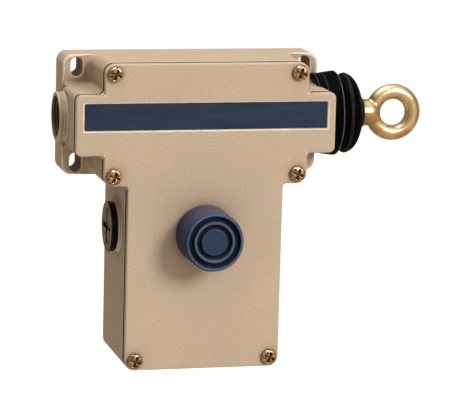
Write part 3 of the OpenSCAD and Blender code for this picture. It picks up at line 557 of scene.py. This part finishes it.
# %% Dress the parts
wears = {
    "painted_casting": ["housing", "cover"],
    "label_blue": ["label_strip"],
    "dark_rubber": ["cover_gasket", "plug_seal", "shaft_seal", "reset_seal"],
    "black_rubber": ["bellows"],
    "blue_rubber": ["reset_boot"],
    "blue_plastic": ["reset_plunger"],
    "plug_plastic": ["blanking_plug"],
    "black_plastic": ["contact_block_a", "contact_block_b"],
    "red_plastic": ["contact_plunger_a", "contact_plunger_b"],
    "yellow_zinc": ["eyebolt"],
    "screw_zinc": ["cover_screws"],
    "zinc_steel": [
        "mechanism_bracket", "bracket_screws", "eyebolt_lock_nut", "spring_collar",
        "contact_block_screws", "reset_barrel", "reset_nut", "latch_lever",
    ],
    "bright_steel": ["pull_shaft", "collar_pin", "cam_pin", "latch_pin"],
    "spring_steel": [
        "main_spring", "contact_springs", "reset_spring", "latch_spring", "bellows_clamp",
    ],
    "bronze": [
        "right_guide_bush", "left_guide_bush", "terminal_screws", "terminal_clamps",
        "contact_bridge_a", "contact_bridge_b", "earth_screw", "earth_clamp",
    ],
    "cast_alloy": ["cam_slide"],
}
finish_of = {part: kind for kind, parts in wears.items() for part in parts}
for part, thing in frame["nodes"].items():
    thing.data.materials.clear()
    thing.data.materials.append(finishes[finish_of[part]])
print("parts dressed:", len(finish_of), "of", len(frame["nodes"]))

# %% [markdown]
# ## Pieces from the frame's solids
# A solid straight from the frame has knife-sharp edges, and real castings and mouldings don't.
# This helper copies a solid, joins its faces, and rounds each edge by a radius that a rule
# chooses, so a casting's inner corner can have a larger fillet than its outer edge. It also
# marks the rounded strips, so that a finish can paint them lighter there, as rubbed wear and as
# painted highlights.

# %% Copy a solid and round its edges
def body_of(part):
    return frame["nodes"][part]["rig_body"]


def welded(part, flat_angle=0.02):
    """The part's mesh with its split points joined and its flat faces made whole."""
    mesh = bmesh.new()
    mesh.from_mesh(frame["nodes"][part].data)
    bmesh.ops.remove_doubles(mesh, verts=mesh.verts, dist=1e-6)
    bmesh.ops.dissolve_limit(mesh, angle_limit=flat_angle, verts=mesh.verts, edges=mesh.edges)
    mesh.normal_update()
    return mesh


def piece_from(mesh, name, kind, body=None, replaced=()):
    """Turns mesh code into a shown piece with its finish, its body and what it stands for."""
    for face in mesh.faces:
        face.smooth = True
    data = bpy.data.meshes.new(name)
    mesh.to_mesh(data)
    mesh.free()
    if "custom_normal" in data.attributes:
        data.attributes.remove(data.attributes["custom_normal"])
    data.materials.append(finishes[kind])
    piece = bpy.data.objects.new(name, data)
    bpy.context.scene.collection.objects.link(piece)
    if body:
        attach(piece, body)
    if replaced:
        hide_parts(*replaced)
    return piece


def rounded(part, name, rule, segments=3, widest=0.003, rub_and_highlight=1.0):
    """A copy of a part whose edges are rounded; rule(edge) gives each edge's radius."""
    mesh = welded(part)
    weight = mesh.edges.layers.float.new("bevel_weight_edge")
    count = 0
    for edge in mesh.edges:
        edge.smooth = True
        if len(edge.link_faces) != 2 or edge.calc_face_angle(0.0) < 0.5:
            continue
        radius = rule(edge)
        edge.smooth = radius > 0
        edge[weight] = min(radius / widest, 1.0)
        count += radius > 0
    plan = bpy.data.meshes.new(name + "_plan")
    mesh.to_mesh(plan)
    mesh.free()
    for i in range(2):
        plan.materials.append(finishes[finish_of[part]])
    blank = bpy.data.objects.new(name + "_blank", plan)
    bpy.context.scene.collection.objects.link(blank)
    bevel = blank.modifiers.new("rounding", "BEVEL")
    bevel.limit_method = "WEIGHT"
    bevel.width = widest
    bevel.segments = segments
    bevel.use_clamp_overlap = False
    bevel.material = 1
    mesh = bmesh.new()
    mesh.from_mesh(blank.evaluated_get(bpy.context.evaluated_depsgraph_get()).to_mesh())
    bpy.data.objects.remove(blank)
    for vert in mesh.verts:
        vert.co = Vector([round(value, 7) for value in vert.co])
    wide = [face for face in mesh.faces if len(face.verts) > 30 and face.calc_area() > 1e-4]
    for face in wide:
        rim, outwards = list(face.edges), face.normal.copy()
        mesh.faces.remove(face)
        bmesh.ops.triangle_fill(mesh, use_beauty=True, edges=rim, normal=outwards)
    # The outward rounded strips are marked for a lighter colour, as rubbed wear and painted
    # highlights.
    rubbed_and_lit = mesh.faces.layers.float.new("rubbed_and_lit")
    for face in mesh.faces:
        convex = sum(edge.is_convex for edge in face.edges) * 2 >= len(face.edges)
        face[rubbed_and_lit] = rub_and_highlight * float(face.material_index == 1 and convex)
        face.material_index = 0
    piece = piece_from(mesh, name, finish_of[part], body_of(part), [part])
    for face in piece.data.polygons:
        face.use_smooth = face.area < 3e-5
    even = piece.modifiers.new("even_light", "WEIGHTED_NORMAL")
    even.keep_sharp = True
    even.weight = 90
    print(name, "has", count, "rounded edges")
    return piece


def middle(edge):
    """The middle of an edge, by which the rules below choose its radius."""
    return (edge.verts[0].co + edge.verts[1].co) / 2


# %% [markdown]
# ## The casting
# The casting is an ear block at the back, with the neck, the band and the leg standing forward
# from it. Where they grow out of the ear block the mould has a large fillet, so molten metal
# flows round the corner. The outer edges are small and even. The inside stays as it is.
# The large fillet could be rounded with the other edges, but a strip that wide folds over
# itself at the fixing slots, so it is laid on as a piece of its own afterwards.

# %% Round the casting
ear_front = -0.018
rim_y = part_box("cover_gasket")[1].y


def casting_radius(edge):
    """The radius that an edge of the casting gets, by the place of its middle."""
    place = middle(edge)
    in_head = abs(place.x) < 0.0475 and abs(place.z) < 0.0262
    in_leg = abs(place.x) < 0.0355 and -0.1185 < place.z < 0.0
    in_neck = abs(place.x) < 0.0612 and abs(place.z) < 0.0112
    on_ear = abs(place.y - ear_front) < 0.0002
    ear_outline = abs(place.x) > 0.0622 or abs(place.z) > 0.0290
    if in_head or in_leg or in_neck:
        return 0.0
    if on_ear and not edge.is_convex:
        return 0.0
    if place.y > -0.0002:
        return 0.0004
    if place.y < rim_y + 0.0003:
        return 0.0007
    if not edge.is_convex:
        return 0.0006
    if place.x < -0.0645 and abs(place.z) < 0.0125:
        return 0.0003
    if on_ear and ear_outline:
        return 0.0013
    if on_ear and abs(place.x) > 0.0530:
        return 0.0005
    return 0.0009


rounded("housing", "casting", casting_radius, 4, rub_and_highlight=0.65)

# %% [markdown]
# The large fillets are strips of their own. Each follows the foot of the neck and the band
# round one ear, and its hollow face runs from the wall down on to the ear.

# %% Lay the fillets round the ears
def ear_path(side, level, corner=0.0025, shoulder=0.005, steps=10):
    """Points along the foot of the walls round one ear, each with the way out of the wall."""
    wall_x, band_z, top_z = 0.051, 0.015, 0.030
    centre = (wall_x + corner, band_z + corner)
    path = [((0.0641, band_z), (0.0, 1.0)), ((centre[0], band_z), (0.0, 1.0))]
    for i in range(1, steps):
        a = math.radians(270 - 90 * i / steps)
        spot = (centre[0] + corner * math.cos(a), centre[1] + corner * math.sin(a))
        path.append((spot, (-math.cos(a), -math.sin(a))))
    path.append(((wall_x, centre[1]), (1.0, 0.0)))
    centre = (wall_x - shoulder, top_z - shoulder)
    for i in range(steps):
        a = math.radians(90 * i / steps)
        out = (math.cos(a), math.sin(a))
        path.append(((centre[0] + shoulder * out[0], centre[1] + shoulder * out[1]), out))
    return [((side * p[0], level * p[1]), (side * n[0], level * n[1])) for p, n in path]


def fillet_strip(path, foot_y, radius, sink=0.0004, steps=8):
    """A strip with a hollow quarter-round face; it is sunk a little into both walls."""
    mesh = bmesh.new()
    rows = []
    for (x, z), (out_x, out_z) in path:
        row = []
        arc = [(-sink, sink), (-sink, -radius)]
        for i in range(steps + 1):
            a = 0.5 * math.pi * i / steps
            arc.append((radius * (1 - math.cos(a)), -radius * (1 - math.sin(a))))
        arc.append((radius, sink))
        for out, lift in arc:
            height = min(max(z + out_z * out, -0.0297), 0.0297)
            row.append(mesh.verts.new((x + out_x * out, foot_y + lift, height)))
        rows.append(row)
    for first, second in zip(rows, rows[1:]):
        for k in range(len(first)):
            m = (k + 1) % len(first)
            mesh.faces.new([first[k], second[k], second[m], first[m]])
    mesh.faces.new(rows[0])
    mesh.faces.new(rows[-1][::-1])
    bmesh.ops.recalc_face_normals(mesh, faces=mesh.faces)
    return mesh


for side, level in ((-1, 1), (-1, -1), (1, 1), (1, -1)):
    strip_mesh = fillet_strip(ear_path(side, level), ear_front, 0.0021)
    name = "ear_fillet_" + ("left" if side < 0 else "right") + ("_top" if level > 0 else "_low")
    fillet = piece_from(strip_mesh, name, "painted_casting", "box")
    fillet.data.set_sharp_from_angle(angle=0.6)
print("fillets laid: 4")

# %% [markdown]
# ## The cover and its gasket
# The cover is a plate with a rounded front edge. The field for the label is sunk into it
# with a small radius at its lip. The screws press the gasket flat, so it swells out to the
# edge and shows as a thin dark line round the joint. It is swollen here by pushing its skin
# out a little, which keeps the sheet where the two castings grip it.

# %% Round the cover
def cover_radius(edge):
    place = middle(edge)
    in_recess = abs(place.z - 0.004) < 0.0075 and abs(place.x) < 0.0615
    if place.y > -0.0530:
        return 0.0006
    return 0.0008 if in_recess else 0.0005


rounded("cover", "lid", cover_radius, 3)
gasket = rounded("cover_gasket", "gasket", lambda edge: 0.0002, 2)
squeezed = gasket.modifiers.new("squeezed_out", "DISPLACE")
squeezed.mid_level = 0.0
squeezed.strength = 0.0012

# %% Round the label strip
rounded("label_strip", "strip", lambda edge: 0.00012, 2)

# %% [markdown]
# ## Screws and plug
# The cover screws have pan heads with a cross recess. The plug that closes the second entry
# has a cross for a wide screwdriver.

# %% Round the screws and the plug
rounded("cover_screws", "heads", lambda edge: 0.00016 if middle(edge).y < -0.0539 else 0.0, 2)
rounded("blanking_plug", "plug", lambda edge: 0.0004 if middle(edge).x < -0.0405 else 0.0, 3)
rounded("plug_seal", "seal", lambda edge: 0.00015, 2)

# %% [markdown]
# ## Turned pieces
# The bellows and the boot are round, so each is one outline turned about its axis.
# The outline runs through a few measured points, and a smooth curve joins them. Rings could
# be stacked instead, one for each fold, but they would part when the rubber stretches.
# The curve also tells where the skin bends most, and there the rubber gets a pale colour, a
# painted highlight along each crest.

# %% Turn an outline about an axis
def smooth_path(points, steps):
    """A curve through the points, the same one that a bent steel rule would make."""
    path = []
    last = len(points) - 1
    for i in range(last):
        before, here = points[max(i - 1, 0)], points[i]
        there, after = points[i + 1], points[min(i + 2, last)]
        for step in range(steps):
            t = step / steps
            spot = [
                0.5 * (
                    2 * b
                    + (c - a) * t
                    + (2 * a - 5 * b + 4 * c - d) * t**2
                    + (3 * b - a - 3 * c + d) * t**3
                )
                for a, b, c, d in zip(before, here, there, after)
            ]
            path.append(tuple(spot))
    path.append(tuple(points[last]))
    return path


def bends(outline):
    """How tightly the outline bends outwards at each point, as one over the radius."""
    found = [0.0]
    for before, here, after in zip(outline, outline[1:], outline[2:]):
        first = (here[0] - before[0], here[1] - before[1])
        second = (after[0] - here[0], after[1] - here[1])
        before_length, after_length = math.hypot(*first), math.hypot(*second)
        size = before_length * after_length * (before_length + after_length) / 2
        found.append((first[0] * second[1] - first[1] * second[0]) / max(size, 1e-12))
    return found + [0.0]


def turned(outline, axis, centre, around=96):
    """Turns (radius, height) points about an axis, and closes the ends that touch it."""
    mesh = bmesh.new()
    rubbed_and_lit = mesh.verts.layers.float.new("rubbed_and_lit")
    rings = []
    for (radius, height), bend in zip(outline, bends(outline)):
        ring = []
        for i in range(around if radius > 1e-6 else 1):
            angle = 2 * math.pi * i / around
            side = (radius * math.cos(angle), radius * math.sin(angle))
            if axis == "X":
                spot = Vector((height, side[0], side[1]))
            else:
                spot = Vector((side[0], -height, side[1]))
            ring.append(mesh.verts.new(Vector(centre) + spot))
            # Painted highlight: the tightest outward bends are marked for a pale colour.
            ring[-1][rubbed_and_lit] = min(max((bend - 500) / 500, 0.0), 1.0)
        rings.append(ring)
    for first, second in zip(rings, rings[1:]):
        for i in range(around):
            j = (i + 1) % around
            corners = [first[i % len(first)], first[j % len(first)]]
            corners += [second[j % len(second)], second[i % len(second)]]
            corners = list(dict.fromkeys(corners))
            if len(corners) > 2:
                mesh.faces.new(corners)
    bmesh.ops.recalc_face_normals(mesh, faces=mesh.faces)
    return mesh


# %% [markdown]
# ## The bellows
# The rubber bellows keeps water off the shaft. Its cuff grips a round stub on the box's end
# and laps a little over the band. It has two wide folds at the box and then draws
# in to a small lip on the eyebolt's neck. On the switch it stretches between the box and the
# eyebolt when the rope pulls; here it is made in its rest shape only.

# %% Make the bellows
mm = 0.001
folds = [
    (19.8, -3.5), (20.0, -3.4), (20.1, -2.8), (20.2, 0.3), (20.4, 1.0),
    (20.7, 3.0), (21.1, 6.0), (21.25, 7.2), (21.05, 7.9),
    (20.3, 8.5), (19.3, 9.4), (18.95, 10.4), (19.2, 11.4), (19.85, 12.1), (20.15, 12.8),
    (20.1, 13.6), (19.6, 14.8), (18.6, 16.3), (17.0, 17.7), (14.8, 18.9), (12.0, 20.0),
    (9.4, 20.7), (8.6, 21.1), (8.3, 21.8), (7.9, 22.3), (7.6, 22.35),
]
outside = smooth_path(folds, 5)
inside = [
    (6.85, 22.3), (6.85, 20.0), (8.6, 19.4), (12.4, 18.2), (15.4, 16.4), (17.6, 13.6),
    (17.4, 10.6), (18.6, 7.6), (18.6, 5.2), (18.4, 4.4), (17.3, 4.3), (17.3, -3.5),
]
outline = [(radius * mm, height * mm) for radius, height in outside + inside]
outline.append(outline[0])
bellows = piece_from(turned(outline, "X", (0.065, rope_y, 0.0)), "rubber_bellows", "black_rubber")
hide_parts("bellows")
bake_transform(bellows)
print("points on the bellows:", len(bellows.data.vertices))

# %% [markdown]
# ## The boot of the reset button
# The blue boot is a thick rubber cap. Its face has an outer rim, a deep groove, a raised ring,
# and a round pad in the middle. On the switch it squeezes towards the box when the button is
# pressed; here it is made in its rest shape only.

# %% Make the boot
boot_corners = [
    (14.0, 0.3), (14.45, 0.5), (14.6, 1.0), (14.6, 6.0), (14.55, 12.0), (14.5, 17.0),
    (14.5, 19.6), (14.35, 20.6), (14.0, 21.2), (13.5, 21.5), (13.05, 21.3), (12.8, 20.7),
    (12.6, 19.5), (12.3, 19.05), (10.7, 19.05), (10.4, 19.3), (10.25, 20.3), (10.05, 20.9),
    (9.6, 21.1), (9.05, 20.95), (8.7, 20.4), (8.5, 19.5), (8.2, 19.05), (7.0, 19.05),
    (6.7, 19.3), (6.55, 20.2), (6.3, 20.7), (5.8, 20.8), (3.0, 20.9), (0.0, 20.9),
]
boot_outline = smooth_path(boot_corners, 4)
boot_inside = [(0.0, 18.4), (11.4, 18.4), (12.3, 17.8), (12.6, 0.3)]
outline = [(r * mm, h * mm) for r, h in boot_outline] + [(r * mm, h * mm) for r, h in boot_inside]
boot = piece_from(turned(outline, "Y", (0.0, -0.054, -0.0544)), "rubber_boot", "blue_rubber")
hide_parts("reset_boot")
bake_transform(boot)
print("points on the boot:", len(boot.data.vertices))

# %% [markdown]
# ## The eyebolt
# The eyebolt is forged, so its eye flows into its neck with no sharp joint. A ring and a neck
# are made apart, melted into one skin of small faces, and smoothed, as a forging die would.

# %% Forge the eye
eye_place = Vector((0.104, rope_y, 0.0))
eye_radius = 10.5 * mm
eye_thick = 3.85 * mm


def ring_mesh(place, radius, thick, around=96, across=40):
    """A round bar bent into a ring."""
    mesh = bmesh.new()
    rows = []
    for i in range(around):
        a = 2 * math.pi * i / around
        row = []
        for k in range(across):
            b = 2 * math.pi * k / across
            reach = radius + thick * math.cos(b)
            offset = Vector((reach * math.cos(a), thick * math.sin(b), reach * math.sin(a)))
            row.append(mesh.verts.new(place + offset))
        rows.append(row)
    for i in range(around):
        for k in range(across):
            n, m = (i + 1) % around, (k + 1) % across
            mesh.faces.new([rows[i][k], rows[n][k], rows[n][m], rows[i][m]])
    bmesh.ops.recalc_face_normals(mesh, faces=mesh.faces)
    return mesh


neck_outline = [
    (0.0, 72.0), (4.0, 72.0), (4.0, 84.0), (6.1, 84.0), (6.7, 84.6), (6.7, 90.8), (6.3, 92.8),
    (5.4, 94.6), (3.8, 95.9), (0.0, 96.5),
]
eye_data = bpy.data.meshes.new("eye_parts")
both = ring_mesh(eye_place, eye_radius, eye_thick)
neck_data = bpy.data.meshes.new("neck_part")
neck = turned([(r * mm, h * mm) for r, h in neck_outline], "X", (0.0, rope_y, 0.0), 64)
neck.to_mesh(neck_data)
neck.free()
both.from_mesh(neck_data)
both.to_mesh(eye_data)
both.free()
blank = bpy.data.objects.new("eye_blank", eye_data)
bpy.context.scene.collection.objects.link(blank)
melt = blank.modifiers.new("melt", "REMESH")
melt.mode = "VOXEL"
melt.voxel_size = 0.00040
soften = blank.modifiers.new("soften", "SMOOTH")
soften.factor = 0.5
soften.iterations = 16
evaluated = blank.evaluated_get(bpy.context.evaluated_depsgraph_get())
forged = bmesh.new()
forged.from_mesh(evaluated.to_mesh())
bpy.data.objects.remove(blank)
forging = piece_from(forged, "forged_eye", "yellow_zinc", "pull_rod", ["eyebolt"])
print("faces on the eye:", len(forging.data.polygons))

# %% [markdown]
# ## Springs
# A spring changes length with its joint, so each one is wound again here between its two seats
# at rest. A spring that was moved whole would leave its seat.

# %% Wind a wire
def wound(start, along, across, coil_radius, wire, length, turns, per_turn=28, sides=10):
    """A wire wound from a start point. Its first and last turns lie flat, as ground ends do."""
    along, across = Vector(along).normalized(), Vector(across).normalized()
    third = along.cross(across)
    mesh = bmesh.new()
    rings = []
    total = int(turns * per_turn)
    for i in range(total + 1):
        a = 2 * math.pi * i / per_turn
        share = min(max((i / per_turn - 0.75) / (turns - 1.5), 0.0), 1.0)
        height = wire + (length - 2 * wire) * share
        out = across * math.cos(a) + third * math.sin(a)
        centre = Vector(start) + along * height + out * coil_radius
        ring = []
        for k in range(sides):
            b = 2 * math.pi * k / sides
            ring.append(mesh.verts.new(centre + wire * (math.cos(b) * out + math.sin(b) * along)))
        rings.append(ring)
    for first, second in zip(rings, rings[1:]):
        for k in range(sides):
            m = (k + 1) % sides
            mesh.faces.new([first[k], second[k], second[m], first[m]])
    mesh.faces.new(rings[0][::-1])
    mesh.faces.new(rings[-1])
    bmesh.ops.recalc_face_normals(mesh, faces=mesh.faces)
    return mesh


def spring(name, node, body, start, end, across, coil_radius, wire, turns):
    start, end = Vector(start), Vector(end)
    mesh = wound(start, end - start, across, coil_radius, wire, (end - start).length, turns)
    made = piece_from(mesh, name, "spring_steel")
    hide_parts(node)
    return made, start, end


# %% Wind the springs
coil, low, high = spring(
    "return_coil", "main_spring", "pull_rod", (0.0577, rope_y, 0.0), (0.0273, rope_y, 0.0),
    (0, 0, 1), 0.0078, 0.0010, 6.5,
)
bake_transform(coil)
coil, low, high = spring(
    "button_coil", "reset_spring", "reset_button", (0.0, -0.0523, -0.0544), (0.0, -0.0627, -0.0544),
    (1, 0, 0), 0.0081, 0.0005, 4.0,
)
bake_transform(coil)
coil, low, high = spring(
    "latch_coil", "latch_spring", "latch", (0.0, -0.0058, -0.043), (0.0, -0.0107, -0.043),
    (1, 0, 0), 0.0026, 0.0003, 3.5,
)
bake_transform(coil)
for side, body in ((-1, "contact_a"), (1, "contact_b")):
    low_z, high_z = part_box("contact_springs")[0].z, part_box("contact_springs")[1].z
    coil, low, high = spring(
        "contact_coil_" + body[-1], "contact_springs", body,
        (0.018 * side, -0.033, low_z), (0.018 * side, -0.033, high_z), (1, 0, 0), 0.0027, 0.00025, 4.5,
    )
    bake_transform(coil)
print("springs wound: 5")

# %% [markdown]
# ## Small rounding inside
# The metal and plastic parts inside the box keep their own solids. A small bevel on each
# breaks its sharp edges, as a tumbling drum does after the cutting. Nobody looks at them as
# closely as at the casting, so one width does for all.

# %% Break the edges inside
shown = [part for part, thing in frame["nodes"].items() if not thing.hide_render]
for part in shown:
    thing = frame["nodes"][part]
    weld = thing.modifiers.new("weld", "WELD")
    weld.merge_threshold = 0.00001
    flat = thing.modifiers.new("flat", "DECIMATE")
    flat.decimate_type = "DISSOLVE"
    flat.angle_limit = 0.03
    soft = thing.modifiers.new("soft", "BEVEL")
    soft.width = 0.00015
    soft.segments = 2
    soft.angle_limit = 0.7
print("parts with broken edges:", len(shown))

# %% [markdown]
# ## Floor, background and light
# The switch floats over a pale floor in front of a white background. One large soft lamp stands
# to the upper right of the camera, a weaker one hangs overhead, and the white room fills the
# shadows a little.

# %% Lay the floor
floor_drop = 0.25
floor_mesh = bmesh.new()
bmesh.ops.create_grid(floor_mesh, x_segments=2, y_segments=2, size=3.0)
floor_data = bpy.data.meshes.new("floor")
floor_mesh.to_mesh(floor_data)
floor_mesh.free()
floor = bpy.data.objects.new("floor", floor_data)
bpy.context.scene.collection.objects.link(floor)
floor.location = (0.0, 0.0, cad_low.z - floor_drop)
print("floor at z =", round(floor.location.z, 3))

# %% [markdown]
# A lit floor looks almost white. But a floor that shines white on everything would turn the
# lower edges milky and show white in the metal. So it glows only where it is seen directly.
# The parts get a plain warm light from it, and in their mirrors it is a dim brown.

# %% Paint the floor
glow_seen = 0.78
glow_mirrored = 0.04


def larger(material, first, second):
    """The larger of two values."""
    return worked(material, "MAXIMUM", first, second)


def toned(material, rays, plain, mirrored):
    """One colour for most rays and another for those that a glossy surface mirrors."""
    return layered(material, rays.outputs["Is Glossy Ray"], plain, mirrored)


floor_paint = bpy.data.materials.new("pale_floor")
floor_paint.use_nodes = True
nodes, links = floor_paint.node_tree.nodes, floor_paint.node_tree.links
surface = nodes["Principled BSDF"]
surface.inputs["Roughness"].default_value = 0.9
rays = nodes.new("ShaderNodeLightPath")
seen = larger(floor_paint, rays.outputs["Is Camera Ray"], rays.outputs["Is Transmission Ray"])
seen = worked(floor_paint, "MULTIPLY", seen, glow_seen)
mirrored = worked(floor_paint, "MULTIPLY", rays.outputs["Is Glossy Ray"], glow_mirrored)
glow = nodes.new("ShaderNodeEmission")
glow.inputs["Color"].default_value = (1.0, 1.0, 1.0, 1.0)
links.new(worked(floor_paint, "ADD", seen, mirrored), glow.inputs["Strength"])
tone = toned(floor_paint, rays, (0.80, 0.77, 0.72, 1.0), (0.42, 0.30, 0.18, 1.0))
links.new(tone, surface.inputs["Base Color"])
lit_and_glowing = nodes.new("ShaderNodeAddShader")
links.new(surface.outputs["BSDF"], lit_and_glowing.inputs[0])
links.new(glow.outputs["Emission"], lit_and_glowing.inputs[1])
links.new(lit_and_glowing.outputs["Shader"], nodes["Material Output"].inputs["Surface"])
floor_data.materials.append(floor_paint)
print("glow of the floor, seen and mirrored:", glow_seen, glow_mirrored)

# %% [markdown]
# ## The room
# The room is white where it is seen directly. The parts get only a dim warm light from it, so
# their shadows are soft but not grey. In mirrors the sides are dim and it is bright overhead,
# which gives round metal its bands of light and dark. Lamps alone would leave the metal black.

# %% Light the room
room_light = 0.24
side_light = 0.32
back_light = 0.35
sky_light = 0.8
world = bpy.data.worlds.new("room")
bpy.context.scene.world = world
world.use_nodes = True
nodes, links = world.node_tree.nodes, world.node_tree.links
rays = nodes.new("ShaderNodeLightPath")
way = nodes.new("ShaderNodeSeparateXYZ")
links.new(nodes.new("ShaderNodeTexCoord").outputs["Generated"], way.inputs["Vector"])
backdrop = spread(world, way.outputs["Y"], 0.1, 0.9, side_light, back_light, smooth=True)
sky = spread(world, way.outputs["Z"], 0.40, 0.90, 0.0, sky_light, smooth=True)
seen = larger(world, rays.outputs["Is Camera Ray"], rays.outputs["Is Transmission Ray"])
white_room = nodes["Background"]
links.new(larger(world, seen, larger(world, backdrop, sky)), white_room.inputs["Strength"])
tone = toned(world, rays, (1.0, 1.0, 1.0, 1.0), (1.0, 0.91, 0.78, 1.0))
links.new(tone, white_room.inputs["Color"])
fill = nodes.new("ShaderNodeBackground")
fill.inputs["Color"].default_value = (1.0, 0.93, 0.84, 1.0)
fill.inputs["Strength"].default_value = room_light
chosen = nodes.new("ShaderNodeMixShader")
links.new(larger(world, seen, rays.outputs["Is Glossy Ray"]), chosen.inputs["Fac"])
links.new(fill.outputs["Background"], chosen.inputs[1])
links.new(white_room.outputs["Background"], chosen.inputs[2])
links.new(chosen.outputs["Shader"], nodes["World Output"].inputs["Surface"])
print("room light:", room_light)

# %% Place the lamps
def lamp(name, place, target, size, power, tint):
    """A flat lamp that shines from its place towards the target."""
    data = bpy.data.lights.new(name, "AREA")
    data.shape = "RECTANGLE"
    data.size, data.size_y = size
    data.energy = power
    data.color = tint
    made = bpy.data.objects.new(name, data)
    bpy.context.scene.collection.objects.link(made)
    made.location = place
    made.rotation_mode = "QUATERNION"
    made.rotation_quaternion = (Vector(target) - Vector(place)).to_track_quat("-Z", "Y")
    return made


key = lamp(
    "key_lamp", (1.25, -2.45, 1.2), (0.0, -0.03, -0.06), (0.95, 0.95), 54.5, (1.0, 0.985, 0.965)
)
top = lamp(
    "top_lamp", (-0.15, -0.06, 1.28), (0.0, -0.03, 0.0), (0.6, 0.4), 11.2, (1.0, 0.985, 0.96)
)
print("power of the lamps in watts:", key.data.energy, round(top.data.energy, 1))
